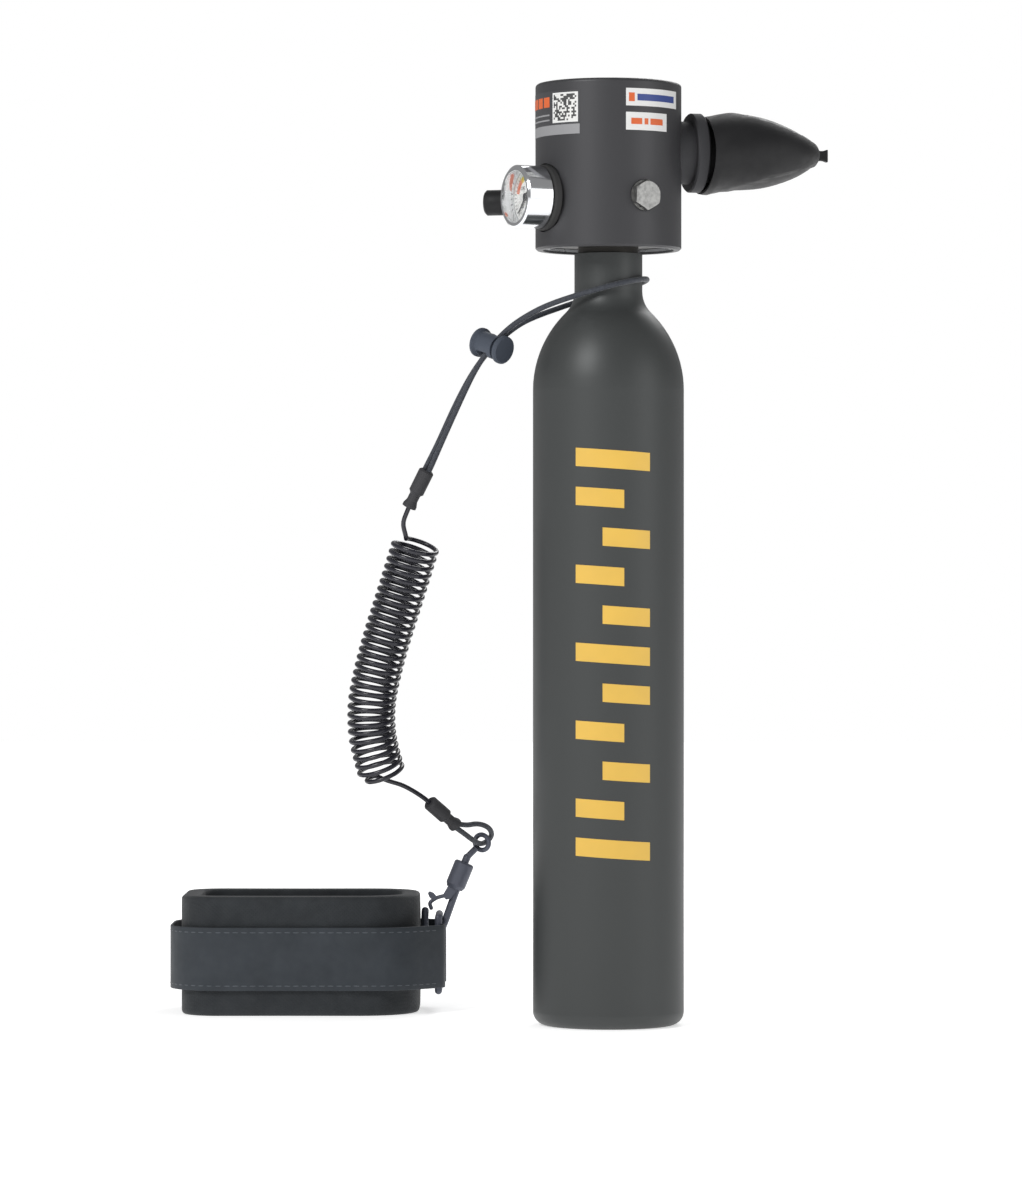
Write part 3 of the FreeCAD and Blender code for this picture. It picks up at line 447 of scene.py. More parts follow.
NODE_FINISHES: dict[Palette, tuple[str, ...]] = {
    Palette.BOTTLE: ("cylinder",),
    Palette.HEAD: ("head_housing", "top_cover"),
    Palette.DARK_BRASS: ("valve_body",),
    Palette.BRASS: ("inlet_filter", "first_stage_piston", "first_stage_cap", "gauge_stem",
                    "bourdon_tube", "burst_disc", "valve_barrel", "demand_poppet"),
    Palette.STEEL: ("burst_disc_plug", "fill_nipple", "fill_poppet", "poppet_nut", "lever_pin",
                    "demand_lever",
                    "diaphragm_plate"),
    Palette.SPRING: ("piston_spring", "fill_spring", "poppet_spring", "purge_spring", "cord_lock_spring",
                     "retaining_circlip"),
    Palette.CHROME: ("gauge_case", "gauge_bezel"),
    Palette.SEAL: ("neck_o_ring", "piston_o_ring", "body_o_ring", "gauge_boot"),
    Palette.SOFT: ("fill_cap", "mouthpiece"),
    Palette.DIAL: ("gauge_dial", "valve_seat"),
    Palette.MOULDED: ("gauge_needle", "purge_button", "exhaust_cover", "mouthpiece_port", "port_ring",
                      "upper_sleeve", "lower_sleeve"),
    Palette.LOCK: ("cord_lock_body", "cord_lock_plunger"),
    Palette.MEMBRANE: ("diaphragm", "exhaust_valve"),
    Palette.LENS: ("gauge_lens",),
    Palette.HOOK: ("swivel_eye", "snap_hook", "hook_gate", "strap_ring"),
}


# ---- modelling by hand ------------------------------------------------------------------------------
def clear_selection() -> None:
    """Leave edit mode and deselect everything."""
    if bpy.context.object and bpy.context.object.mode != "OBJECT":
        bpy.ops.object.mode_set(mode="OBJECT")
    bpy.ops.object.select_all(action="DESELECT")


def hold(piece: bpy.types.Object) -> bpy.types.Object:
    """Select one piece alone and make it active."""
    clear_selection()
    piece.select_set(True)
    bpy.context.view_layer.objects.active = piece
    return piece


def edit(piece: bpy.types.Object, mode: str = "FACE", everything: bool = True) -> None:
    """Enter edit mode on a piece.

    Args:
        piece: the piece.
        mode: VERT, EDGE or FACE.
        everything: whether all of it starts selected.
    """
    hold(piece)
    bpy.ops.object.mode_set(mode="EDIT")
    bpy.ops.mesh.select_mode(type=mode)
    bpy.ops.mesh.select_all(action="SELECT" if everything else "DESELECT")


def choose_verts(piece: bpy.types.Object, test: Callable[[Vector], bool]) -> None:
    """Select the vertices that pass a test, and enter edit mode.

    Args:
        piece: the piece.
        test: says whether a vertex at that place is wanted.
    """
    edit(piece, "VERT", everything=False)
    bpy.ops.object.mode_set(mode="OBJECT")
    for vertex in piece.data.vertices:
        vertex.select = test(vertex.co)
    bpy.ops.object.mode_set(mode="EDIT")


def modify(piece: bpy.types.Object, kind: str, **settings: object) -> None:
    """Add a modifier and apply it.

    Args:
        piece: the piece.
        kind: the modifier's type.
        settings: its properties.
    """
    hold(piece)
    modifier = piece.modifiers.new(kind.title(), kind)
    for key, value in settings.items():
        setattr(modifier, key, value)
    bpy.ops.object.modifier_apply(modifier=modifier.name)


def outward(piece: bpy.types.Object) -> None:
    """Merge doubles and turn every face outwards."""
    edit(piece)
    bpy.ops.mesh.remove_doubles(threshold=0.001 * MM)
    bpy.ops.mesh.normals_make_consistent(inside=False)
    clear_selection()


def bearing(piece: bpy.types.Object, degrees: float) -> bpy.types.Object:
    """Turn a piece about the bottle's axis.

    Args:
        piece: the piece, drawn along +X.
        degrees: its bearing, anticlockwise from above.

    Returns:
        The same piece.
    """
    piece.matrix_world = Matrix.Rotation(math.radians(degrees), 4, "Z") @ piece.matrix_world
    return piece


def settle(piece: bpy.types.Object, name: str, finish: Palette, body: str, smooth: float = 40.0,
           replaces: Sequence[str] = ()) -> bpy.types.Object:
    """Finish a piece: its place goes into its mesh, and it gets its name, finish and body.

    Args:
        piece: the modelled piece.
        name: its name.
        finish: its finish.
        body: the CAD body it rides on.
        smooth: faces meeting at less than this many degrees are shaded smooth.
        replaces: CAD nodes that it stands for.

    Returns:
        The same piece.
    """
    hold(piece)
    bpy.ops.object.transform_apply(location=True, rotation=True, scale=True)
    piece.name = name
    piece.data.name = name
    if piece.type == "MESH" and smooth:
        bpy.ops.object.shade_smooth_by_angle(angle=math.radians(smooth))
    piece.data.materials.clear()
    piece.data.materials.append(finish.material())
    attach(piece, body)
    if replaces:
        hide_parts(*replaces)
    clear_selection()
    LOG.info("%s on %s, finish %s", name, body, finish.value.name)
    return piece


def join(pieces: Sequence[bpy.types.Object]) -> bpy.types.Object:
    """Join several pieces into the first.

    Args:
        pieces: the pieces.

    Returns:
        The joined piece.
    """
    hold(pieces[0])
    for piece in pieces:
        piece.select_set(True)
    bpy.ops.object.join()
    return pieces[0]


def wrap_patch(radius: float, low: float, high: float, start: float, end: float, thick: float,
               tilt: float = 0.0) -> bpy.types.Object:
    """A thin layer wrapped on an upright cylinder.

    Args:
        radius: the cylinder's radius.
        low: lower edge.
        high: upper edge.
        start: bearing of one end, in degrees from the front, positive to the right.
        end: bearing of the other end.
        thick: its thickness.
        tilt: how far the layer leans, in degrees, down to the right.

    Returns:
        The layer's piece.
    """
    clear_selection()
    middle = (low + high) / 2
    bpy.ops.mesh.primitive_cylinder_add(vertices=256, radius=radius, depth=high - low,
                                        end_fill_type="NOTHING", location=(0.0, 0.0, middle))
    piece = bpy.context.object
    bpy.ops.object.transform_apply(location=True, rotation=True, scale=True)
    for degrees, side in ((start, 1.0), (end, -1.0)):
        angle = math.radians(degrees)
        normal = (side * math.cos(angle), side * math.sin(angle), 0.0)
        edit(piece)
        bpy.ops.mesh.bisect(plane_co=(0.0, 0.0, middle), plane_no=normal, clear_inner=True)
    clear_selection()
    for vertex in piece.data.vertices:
        vertex.co.z -= math.tan(math.radians(tilt)) * vertex.co.x
    modify(piece, "SOLIDIFY", thickness=thick, offset=1.0)
    layer = piece.data.uv_layers.active or piece.data.uv_layers.new(name="wrap")
    for loop in piece.data.loops:
        place = piece.data.vertices[loop.vertex_index].co
        layer.data[loop.index].uv = (radius * math.atan2(place.x, -place.y), place.z)
    return piece


def arc(centre: tuple[float, float], radius: float, start: float, end: float,
        steps: int) -> list[tuple[float, float]]:
    """Points on a flat arc.

    Args:
        centre: the arc's centre.
        radius: its radius.
        start: first angle, in degrees.
        end: last angle, in degrees.
        steps: how many steps it takes.

    Returns:
        The points, both ends among them.
    """
    angles = [math.radians(start + (end - start) * k / steps) for k in range(steps + 1)]
    return [(centre[0] + radius * math.cos(a), centre[1] + radius * math.sin(a)) for a in angles]


def round_corner(before: Vector, corner: Vector, after: Vector, radius: float,
                 steps: int) -> list[tuple[float, float]]:
    """The arc that rounds one corner of a flat outline.

    Args:
        before: the point before the corner.
        corner: the corner.
        after: the point after it.
        radius: the arc's radius.
        steps: how many steps it takes.

    Returns:
        The arc's points.
    """
    back = (before - corner).normalized()
    ahead = (after - corner).normalized()
    half = back.angle(ahead) / 2
    centre = corner + (back + ahead).normalized() * (radius / math.sin(half))
    first = corner + back * (radius / math.tan(half)) - centre
    last = corner + ahead * (radius / math.tan(half)) - centre
    start = math.degrees(math.atan2(first.y, first.x))
    turn = math.degrees(math.atan2(first.x * last.y - first.y * last.x, first.dot(last)))
    return arc((centre.x, centre.y), radius, start, start + turn, steps)


def even_steps(points: Sequence[Vector], count: int, closed: bool = False) -> list[Vector]:
    """Points at even distances along a path.

    Args:
        points: the path.
        count: how many points are wanted.
        closed: whether the path returns to its start.

    Returns:
        The even points.
    """
    line = list(points) + ([points[0]] if closed else [])
    reach = [0.0]
    for one, two in zip(line, line[1:]):
        reach.append(reach[-1] + (two - one).length)
    result = []
    span = 0
    for k in range(count):
        want = reach[-1] * k / (count if closed else count - 1)
        while span < len(line) - 2 and reach[span + 1] < want:
            span += 1
        share = (want - reach[span]) / max(reach[span + 1] - reach[span], 1e-9)
        result.append(line[span].lerp(line[span + 1], share))
    return result


# ---- printed marks ------------------------------------------------------------------------------------
@dataclass
class DepthScale:
    """A plain ladder of slanted bars printed down the front of the bottle."""

    radius: float = 30.0 * MM
    low: float = 67.5 * MM
    high: float = 227.5 * MM
    half_width: float = 29.0
    centre: float = 2.7
    stroke: float = 7.2 * MM
    rows: int = 11
    tilt: float = 4.0
    ink_depth: float = 0.10 * MM

    def row_span(self, row: int) -> tuple[float, float]:
        """Left and right ends of one bar, in degrees: every fifth is full, the rest alternate."""
        if row % 5 == 0:
            return -self.half_width, self.half_width
        if row % 2:
            return -self.half_width, self.half_width * 0.28
        return -self.half_width * 0.28, self.half_width

    def build(self) -> None:
        """Print every bar as one piece."""
        bars = []
        pitch = (self.high - self.low - self.stroke) / (self.rows - 1)
        for row in range(self.rows):
            left, right = self.row_span(row)
            low = self.low + row * pitch
            bars.append(wrap_patch(self.radius, low, low + self.stroke, self.centre + left,
                                   self.centre + right, self.ink_depth, self.tilt))
        settle(join(bars), "depth_scale_print", Palette.YELLOW, "tank")


@dataclass
class HeadLabels:
    """Three generic stickers on the regulator head: plain bars and blocks, no lettering."""

    radius: float = 29.0 * MM
    layer: float = 0.07 * MM

    def patch(self, name: str, finish: Palette, level: int, angles: tuple[float, float],
              heights: tuple[float, float]) -> None:
        """One printed area.

        Args:
            name: the piece's name.
            finish: its ink.
            level: how many layers lie under it.
            angles: its two ends, in degrees from the front.
            heights: its lower and upper edge, in millimetres.
        """
        piece = wrap_patch(self.radius + level * self.layer, heights[0] * MM, heights[1] * MM, *angles,
                           self.layer)
        settle(piece, name, finish, "tank")

    def build(self) -> None:
        """Stick and print the three labels."""
        self.patch("label_upper", Palette.WHITE, 0, (12.7, 65.6), (362.5, 369.4))
        self.patch("label_upper_bar", Palette.BLUE, 1, (22.0, 61.0), (364.6, 367.2))
        self.patch("label_upper_mark", Palette.ORANGE, 1, (15.0, 19.5), (364.2, 367.6))
        self.patch("label_lower", Palette.WHITE, 0, (12.7, 50.9), (353.0, 360.0))
        for k, (start, end) in enumerate(((17.0, 26.0), (28.0, 31.5), (33.5, 46.0))):
            self.patch(f"label_lower_bar_{k + 1}", Palette.ORANGE, 1, (start, end), (355.3, 357.7))
        self.patch("label_left", Palette.DARK_LABEL, 0, (-98.0, -24.0), (355.6, 369.0))
        self.patch("label_left_strip", Palette.SILVER, 0, (-98.0, -24.0), (351.7, 355.6))
        self.patch("label_left_panel", Palette.WHITE, 1, (-50.0, -25.5), (356.4, 368.2))
        self.patch("label_left_blocks", Palette.BLOCKS, 2, (-48.6, -26.9), (357.1, 367.5))
        for k, start in enumerate((-92.0, -82.0, -72.0, -62.0)):
            self.patch(f"label_left_bar_{k + 1}", Palette.ORANGE, 1, (start, start + 8.0), (362.8, 366.8))
        for k, height in enumerate((357.4, 359.4)):
            self.patch(f"label_left_line_{k + 1}", Palette.SILVER, 1, (-94.0, -54.0), (height, height + 0.6))


@dataclass
class GaugeScale:
    """The coloured arcs, ticks and numbers on the gauge's dial."""

    bearing_deg: float = 208.0
    axis_z: float = 327.5 * MM
    face_x: float = 36.6 * MM
    ring_in: float = 6.7 * MM
    ring_out: float = 8.9 * MM
    ink_depth: float = 0.06 * MM
    zero_deg: float = 225.0
    sweep_deg: float = 270.0
    bands: tuple[tuple[Palette, float, float], ...] = (
        (Palette.ORANGE, 168.0, 126.0), (Palette.AMBER, 126.0, 110.0), (Palette.GREEN, 110.0, 68.0),
        (Palette.RED, 68.0, 22.0))
    numbers: tuple[str, ...] = ("0", "100", "200", "300")

    def face_point(self, radius: float, degrees: float, lift: float = 0.0) -> Vector:
        """A place on the dial.

        Args:
            radius: distance from the needle's axis.
            degrees: clock angle, anticlockwise from the right as seen from the front of the gauge.
            lift: height above the dial.

        Returns:
            The place, before the gauge is turned to its bearing.
        """
        angle = math.radians(degrees)
        return Vector((self.face_x + lift, radius * math.cos(angle), self.axis_z + radius * math.sin(angle)))

    def sector(self, start: float, end: float, inner: float, outer: float) -> bpy.types.Object:
        """A flat ring sector extruded up from the dial.

        Args:
            start: first clock angle.
            end: last clock angle.
            inner: inner radius.
            outer: outer radius.

        Returns:
            The sector's piece.
        """
        clear_selection()
        steps = max(1, int(abs(end - start) / 4))
        bpy.ops.mesh.primitive_grid_add(x_subdivisions=steps, y_subdivisions=1, size=1.0)
        piece = bpy.context.object
        for vertex in piece.data.vertices:
            angle = start + (end - start) * (vertex.co.x + 0.5)
            radius = inner + (outer - inner) * (vertex.co.y + 0.5)
            vertex.co = self.face_point(radius, angle)
        edit(piece)
        bpy.ops.mesh.extrude_region_move(TRANSFORM_OT_translate={"value": (self.ink_depth, 0.0, 0.0)})
        outward(piece)
        return piece

    def number(self, text: str, degrees: float) -> bpy.types.Object:
        """One printed number.

        Args:
            text: its digits.
            degrees: its clock angle.

        Returns:
            The number's piece.
        """
        clear_selection()
        bpy.ops.object.text_add()
        label = bpy.context.object
        label.data.body = text
        label.data.size = 2.3 * MM
        label.data.align_x = "CENTER"
        label.data.align_y = "CENTER"
        label.data.extrude = self.ink_depth / 2
        place = self.face_point(5.0 * MM, degrees, self.ink_depth / 2)
        upright = Matrix(((0, 0, 1), (1, 0, 0), (0, 1, 0))).to_4x4()
        label.matrix_world = Matrix.Translation(place) @ upright
        bpy.ops.object.convert(target="MESH")
        return bpy.context.object

    def build(self) -> None:
        """Print the dial."""
        for finish, start, end in self.bands:
            piece = self.sector(start, end, self.ring_in, self.ring_out)
            settle(bearing(piece, self.bearing_deg), f"dial_{finish.name.lower()}", finish, "tank")
        marks = []
        for k in range(31):
            angle = self.zero_deg - self.sweep_deg * k / 30
            inner = (8.9 if k % 10 else 8.3) * MM
            marks.append(self.sector(angle + 0.9, angle - 0.9, inner, 10.1 * MM))
        for k, text in enumerate(self.numbers):
            marks.append(self.number(text, self.zero_deg - self.sweep_deg * k / (len(self.numbers) - 1)))
        marks.append(self.sector(286.0, 254.0, 6.2 * MM, 7.2 * MM))
        settle(bearing(join(marks), self.bearing_deg), "dial_marks", Palette.BLACK_INK, "tank", smooth=0.0)


# ---- soft cover ---------------------------------------------------------------------------------------
@dataclass
class MouthCover:
    """The soft silicone cap over the mouthpiece: an oval skirt, scooped top and bottom, and a pull tab."""

    bearing_deg: float = 14.0
    axis_z: float = 347.0 * MM
    wall: float = 1.6 * MM
    rings: tuple[tuple[float, float, float, float], ...] = (
        (38.6, 20.6, 14.4, 16.3), (41.3, 21.4, 14.9, 16.8), (42.2, 21.6, 15.0, 15.9),
        (47.0, 22.3, 16.2, 15.6),
        (53.0, 22.9, 16.8, 15.2), (58.0, 23.0, 16.5, 15.0), (64.0, 22.4, 15.4, 14.4),
        (70.0, 20.6, 13.4, 12.8),
        (76.0, 17.6, 10.8, 10.6), (80.0, 14.6, 8.7, 8.6), (84.0, 10.2, 6.0, 6.0), (86.6, 5.4, 3.2, 3.2))

    def shell(self) -> bpy.types.Object:
        """The skirt: one oval loop extruded ring by ring to the nose."""
        clear_selection()
        x, half, top, bottom = self.rings[0]
        bpy.ops.mesh.primitive_circle_add(vertices=64, radius=1.0, rotation=(0.0, math.pi / 2, 0.0),
                                          location=(x * MM, 0.0, self.axis_z + (top - bottom) / 2 * MM))
        piece = bpy.context.object
        piece.scale = ((top + bottom) / 2 * MM, half * MM, 1.0)
        bpy.ops.object.transform_apply(location=True, rotation=True, scale=True)
        edit(piece, "EDGE")
        for before, after in zip(self.rings, self.rings[1:]):
            lift = ((after[2] - after[3]) - (before[2] - before[3])) / 2 * MM
            bpy.ops.mesh.extrude_edges_move(
                TRANSFORM_OT_translate={"value": ((after[0] - before[0]) * MM, 0.0, lift)})
            middle = self.axis_z + (after[2] - after[3]) / 2 * MM
            bpy.ops.transform.resize(
                value=(1.0, after[1] / before[1], (after[2] + after[3]) / (before[2] + before[3])),
                center_override=(after[0] * MM, 0.0, middle))
        bpy.ops.mesh.extrude_edges_move(TRANSFORM_OT_translate={"value": (0.6 * MM, 0.0, 0.0)})
        bpy.ops.mesh.merge(type="CENTER")
        clear_selection()
        return piece

    def scoop(self, piece: bpy.types.Object, near: Point, far: Point, depth: float) -> None:
        """Crease the skirt along a slope and press in what lies beyond the crease.

        Args:
            piece: the skirt.
            near: a place on the slope's high end.
            far: a place on its low end.
            depth: how far it is pressed in.
        """
        run = Vector(far) - Vector(near)
        normal = Vector((-run.z, 0.0, run.x)) * (1.0 if near[2] > self.axis_z else -1.0)
        normal.normalize()
        edit(piece)
        bpy.ops.mesh.bisect(plane_co=near, plane_no=normal)
        for share in (0.05, 0.9):
            choose_verts(piece, lambda co: (co - Vector(near)).dot(normal) > share * MM and co.x < far[0])
            bpy.ops.transform.translate(value=normal * (-depth / 2))
        clear_selection()

    def tab(self) -> bpy.types.Object:
        """The pull tab: a waisted block with flared ends."""
        clear_selection()
        bpy.ops.mesh.primitive_cube_add(size=1.0, location=(88.4 * MM, 0.0, self.axis_z))
        piece = bpy.context.object
        piece.scale = (5.2 * MM, 3.0 * MM, 5.4 * MM)
        bpy.ops.object.transform_apply(location=True, rotation=True, scale=True)
        edit(piece)
        bpy.ops.mesh.subdivide(number_cuts=2)
        choose_verts(piece, lambda co: 86.5 * MM < co.x < 90.0 * MM)
        bpy.ops.transform.resize(value=(1.0, 0.8, 0.72), center_override=(88.4 * MM, 0.0, self.axis_z))
        modify(piece, "BEVEL", width=0.35 * MM, segments=2)
        modify(piece, "SUBSURF", levels=1, render_levels=1)
        return piece

    def build(self) -> None:
        """Make the cover from its skirt and tab."""
        piece = self.shell()
        modify(piece, "SUBSURF", levels=1, render_levels=1)
        self.scoop(piece, (51.0 * MM, 0.0, self.axis_z + 15.6 * MM), (85.0 * MM, 0.0, self.axis_z + 3.6 * MM),
                   1.0 * MM)
        self.scoop(piece, (48.0 * MM, 0.0, self.axis_z - 14.6 * MM), (85.0 * MM, 0.0, self.axis_z - 3.6 * MM),
                   0.8 * MM)
        outward(piece)
        modify(piece, "SOLIDIFY", thickness=self.wall * 0.75, offset=-1.0)
        cover = bearing(join([piece, self.tab()]), self.bearing_deg)
        settle(cover, "mouthpiece_cover_skin", Palette.SOFT, "mouthpiece_cover", 30.0, ["mouthpiece_cover"])


# ---- wrist strap --------------------------------------------------------------------------------------
@dataclass
class WristStrap:
    """The padded loop and the stitched webbing that holds it, standing on edge beside the bottle."""

    pad_plan: tuple[Point, ...] = ((-173.1, 39.6, 15.0), (-76.2, 39.6, 24.0), (-76.2, 100.9, 20.0),
                                   (-173.1, 100.9, 15.0))
    pad_wall: float = 7.5 * MM
    pad_top: float = 48.5 * MM
    pad_rim: float = 1.6 * MM
    pad_puff: float = 0.55 * MM
    band_plan: tuple[Point, ...] = ((-65.6, 92.5, 5.0), (-84.0, 103.6, 20.0), (-178.0, 103.6, 21.0),
                                    (-178.0, 37.5, 21.0), (-84.0, 37.5, 28.0), (-65.6, 55.5, 5.0))
    band_low: float = 10.4 * MM
    band_high: float = 36.0 * MM
    band_thick: float = 1.2 * MM
    bar_x: float = -68.4 * MM
    bar_near: float = 60.0 * MM
    bar_far: float = 88.0 * MM
    bar_turn: float = 2.2 * MM
    stitch: float = 2.6 * MM
    stitch_gap: float = 0.9 * MM
    stitch_edge: float = 2.0 * MM
    thread: tuple[float, float] = (0.32 * MM, 0.46 * MM)

    @staticmethod
    def outline(plan: Sequence[Point]) -> list[Vector]:
        """A plan with rounded corners.

        Args:
            plan: its corners and their radii, in millimetres.

        Returns:
            Its points, in metres.
        """
        corners = [Vector((x, y)) * MM for x, y, _ in plan]
        points: list[Vector] = []
        for k, corner in enumerate(corners):
            before, after = corners[k - 1], corners[(k + 1) % len(corners)]
            points += [Vector(p) for p in round_corner(before, corner, after, plan[k][2] * MM, 10)]
        return points

    def loop_piece(self, points: Sequence[Vector], low: float, high: float, rows: int,
                   closed: bool) -> bpy.types.Object:
        """A wall standing on an outline, extruded up from its lower edge.

        Args:
            points: the outline.
            low: its lower edge.
            high: its upper edge.
            rows: how many rows of faces it has.
            closed: whether the outline returns to its start.

        Returns:
            The wall's piece.
        """
        clear_selection()
        bpy.ops.mesh.primitive_circle_add(vertices=len(points), radius=10 * MM, location=(0.0, 0.0, 0.0))
        piece = bpy.context.object
        for vertex, point in zip(piece.data.vertices, points):
            vertex.co = (point.x, point.y, low)
        edit(piece, "EDGE")
        for _ in range(rows):
            bpy.ops.mesh.extrude_edges_move(
                TRANSFORM_OT_translate={"value": (0.0, 0.0, (high - low) / rows)})
        if not closed:
            self.open_seam(piece, points[-1], points[0])
        clear_selection()
        return piece

    @staticmethod
    def open_seam(piece: bpy.types.Object, last: Vector, first: Vector) -> None:
        """Delete the faces that join an open outline's end to its start."""
        middle = (last + first) / 2
        bpy.ops.object.mode_set(mode="OBJECT")
        for face in piece.data.polygons:
            face.select = (Vector(face.center[:2]) - middle).length < 0.01 * MM
        for edge in piece.data.edges:
            ends = [piece.data.vertices[v].co for v in edge.vertices]
            edge.select = (Vector(((ends[0] + ends[1]) / 2)[:2]) - middle).length < 0.01 * MM
        bpy.ops.object.mode_set(mode="EDIT")
        bpy.ops.mesh.delete(type="EDGE_FACE")

    def pad(self) -> None:
        """The foam pad: a thick loop, puffed a little by cloth pressure."""
        points = even_steps(self.outline(self.pad_plan), 150, closed=True)
        piece = self.loop_piece(points, 0.0, self.pad_top, 22, closed=True)
        modify(piece, "SOLIDIFY", thickness=self.pad_wall, offset=1.0 if self.faces_in(piece) else -1.0)
        modify(piece, "BEVEL", width=self.pad_rim, segments=4, limit_method="ANGLE",
               angle_limit=math.radians(40))
        outward(piece)
        flat = [vertex.co.copy() for vertex in piece.data.vertices]
        self.puff(piece)
        for vertex, place in zip(piece.data.vertices, flat):
            move = vertex.co - place
            if move.length > self.pad_puff:
                move = move.normalized() * self.pad_puff
            vertex.co = place + move
            vertex.co.z = min(max(vertex.co.z, 0.0), self.pad_top)
        settle(piece, "strap_pad_knit", Palette.PAD, "lanyard", 50.0, ["strap_pad"])

    @staticmethod
    def faces_in(piece: bpy.types.Object) -> bool:
        """Whether a wall's faces look towards its own middle."""
        middle = sum((v.co for v in piece.data.vertices), Vector()) / len(piece.data.vertices)
        face = piece.data.polygons[0]
        return (face.center - middle).dot(face.normal) < 0.0

    @staticmethod
    def puff(piece: bpy.types.Object) -> None:
        """Run a short cloth simulation with a little pressure and apply it."""
        hold(piece)
        cloth = piece.modifiers.new("Cloth", "CLOTH")
        cloth.settings.use_pressure = True
        cloth.settings.uniform_pressure_force = 2.0
        cloth.settings.tension_stiffness = 40.0
        cloth.settings.compression_stiffness = 40.0
        cloth.settings.bending_stiffness = 5.0
        cloth.settings.effector_weights.gravity = 0.0
        cloth.point_cache.frame_start = 1
        cloth.point_cache.frame_end = 8
        for frame in range(1, 9):
            bpy.context.scene.frame_set(frame)
        bpy.ops.object.modifier_apply(modifier=cloth.name)
        bpy.context.scene.frame_set(1)

    def band(self) -> None:
        """The webbing: a ribbon, its ends wrapped round the ring's bars, with stitched edges."""
        route = self.band_route()
        points = even_steps(route, 240)
        piece = self.loop_piece(points, self.band_low, self.band_high, 8, closed=False)
        layer = piece.data.uv_layers.new(name="webbing")
        reach = {}
        total = 0.0
        for k, point in enumerate(points):
            total += (point - points[k - 1]).length if k else 0.0
            reach[(round(point.x, 6), round(point.y, 6))] = total
        for loop in piece.data.loops:
            place = piece.data.vertices[loop.vertex_index].co
            layer.data[loop.index].uv = (reach[(round(place.x, 6), round(place.y, 6))], place.z)
        modify(piece, "SOLIDIFY", thickness=self.band_thick, offset=0.0)
        modify(piece, "BEVEL", width=0.3 * MM, segments=2, limit_method="ANGLE", angle_limit=math.radians(60))
        settle(piece, "strap_band_webbing", Palette.WEBBING, "lanyard", 50.0, ["strap_band"])
        self.stitches(points)

    def band_route(self) -> list[Vector]:
        """The webbing's middle line, from its wrap on the far bar round the pad to the near bar's wrap."""
        middle = self.outline(self.band_plan)
        centre = Vector((sum(p.x for p in middle), sum(p.y for p in middle))) / len(middle)
        inner = [p + (centre - p).normalized() * self.band_thick / 2 for p in middle]
        far = arc((self.bar_x, self.bar_far), self.bar_turn, -150.0, 0.0, 12)
        near = arc((self.bar_x, self.bar_near), self.bar_turn, 0.0, 150.0, 12)
        return [Vector(p) for p in far] + inner + [Vector(p) for p in near]

    def stitches(self, points: Sequence[Vector]) -> None:
        """A row of raised thread along each edge of the webbing."""
        stitches = []
        total = sum((b - a).length for a, b in zip(points, points[1:]))
        count = int(total / (self.stitch + self.stitch_gap))
        places = even_steps(points, count + 1)
        for one, two in list(zip(places, places[1:]))[4:-4]:
            along = (two - one).normalized()
            out = Vector((along.y, -along.x))
            if out.dot((one + two) / 2 - Vector((-120.0 * MM, 70.0 * MM))) < 0:
                out = -out
            middle = (one + two) / 2 + out * (self.band_thick / 2)
            for height in (self.band_low + self.stitch_edge, self.band_high - self.stitch_edge):
                clear_selection()
                bpy.ops.mesh.primitive_uv_sphere_add(segments=8, ring_count=5, radius=0.5)
                stitch = bpy.context.object
                stitch.scale = (self.stitch, *self.thread)
                stitch.rotation_euler = (0.0, 0.0, math.atan2(along.y, along.x))
                stitch.location = (middle.x, middle.y, height)
                stitches.append(stitch)
        settle(join(stitches), "strap_band_stitches", Palette.THREAD, "lanyard", 60.0)

    def build(self) -> None:
        """Make the pad and the webbing."""
        self.pad()
        self.band()


# ---- cords --------------------------------------------------------------------------------------------
def cord_curve(name: str, route: Sequence[Point], diameter: float) -> bpy.types.Object:
    """A round cord along a route.

    Args:
        name: the cord's name.
        route: its control points.
        diameter: its thickness.

    Returns:
        The cord's curve.
    """
    data = bpy.data.curves.new(name, "CURVE")
    data.dimensions = "3D"
    spline = data.splines.new("NURBS")
    spline.points.add(len(route) - 1)
    for point, place in zip(spline.points, route):
        point.co = (*place, 1.0)
    spline.order_u = 3
    spline.use_endpoint_u = True
    spline.resolution_u = 8 if len(route) < 100 else 3
    data.bevel_depth = diameter / 2
    data.bevel_resolution = 5
    data.use_fill_caps = True
    piece = bpy.data.objects.new(name, data)
    bpy.context.scene.collection.objects.link(piece)
    return piece


def line_of(piece: bpy.types.Object) -> list[Vector]:
    """The points along a curve's middle line."""
    bare = piece.data.copy()
    bare.bevel_depth = 0.0
    probe = bpy.data.objects.new("probe", bare)
    bpy.context.scene.collection.objects.link(probe)
    mesh = bpy.data.meshes.new_from_object(probe)
    line = [vertex.co.copy() for vertex in mesh.vertices]
    bpy.data.meshes.remove(mesh)
    bpy.data.objects.remove(probe)
    return line


def path_length(line: Sequence[Vector]) -> float:
    """The length of a path of points."""
    return sum((two - one).length for one, two in zip(line, line[1:]))


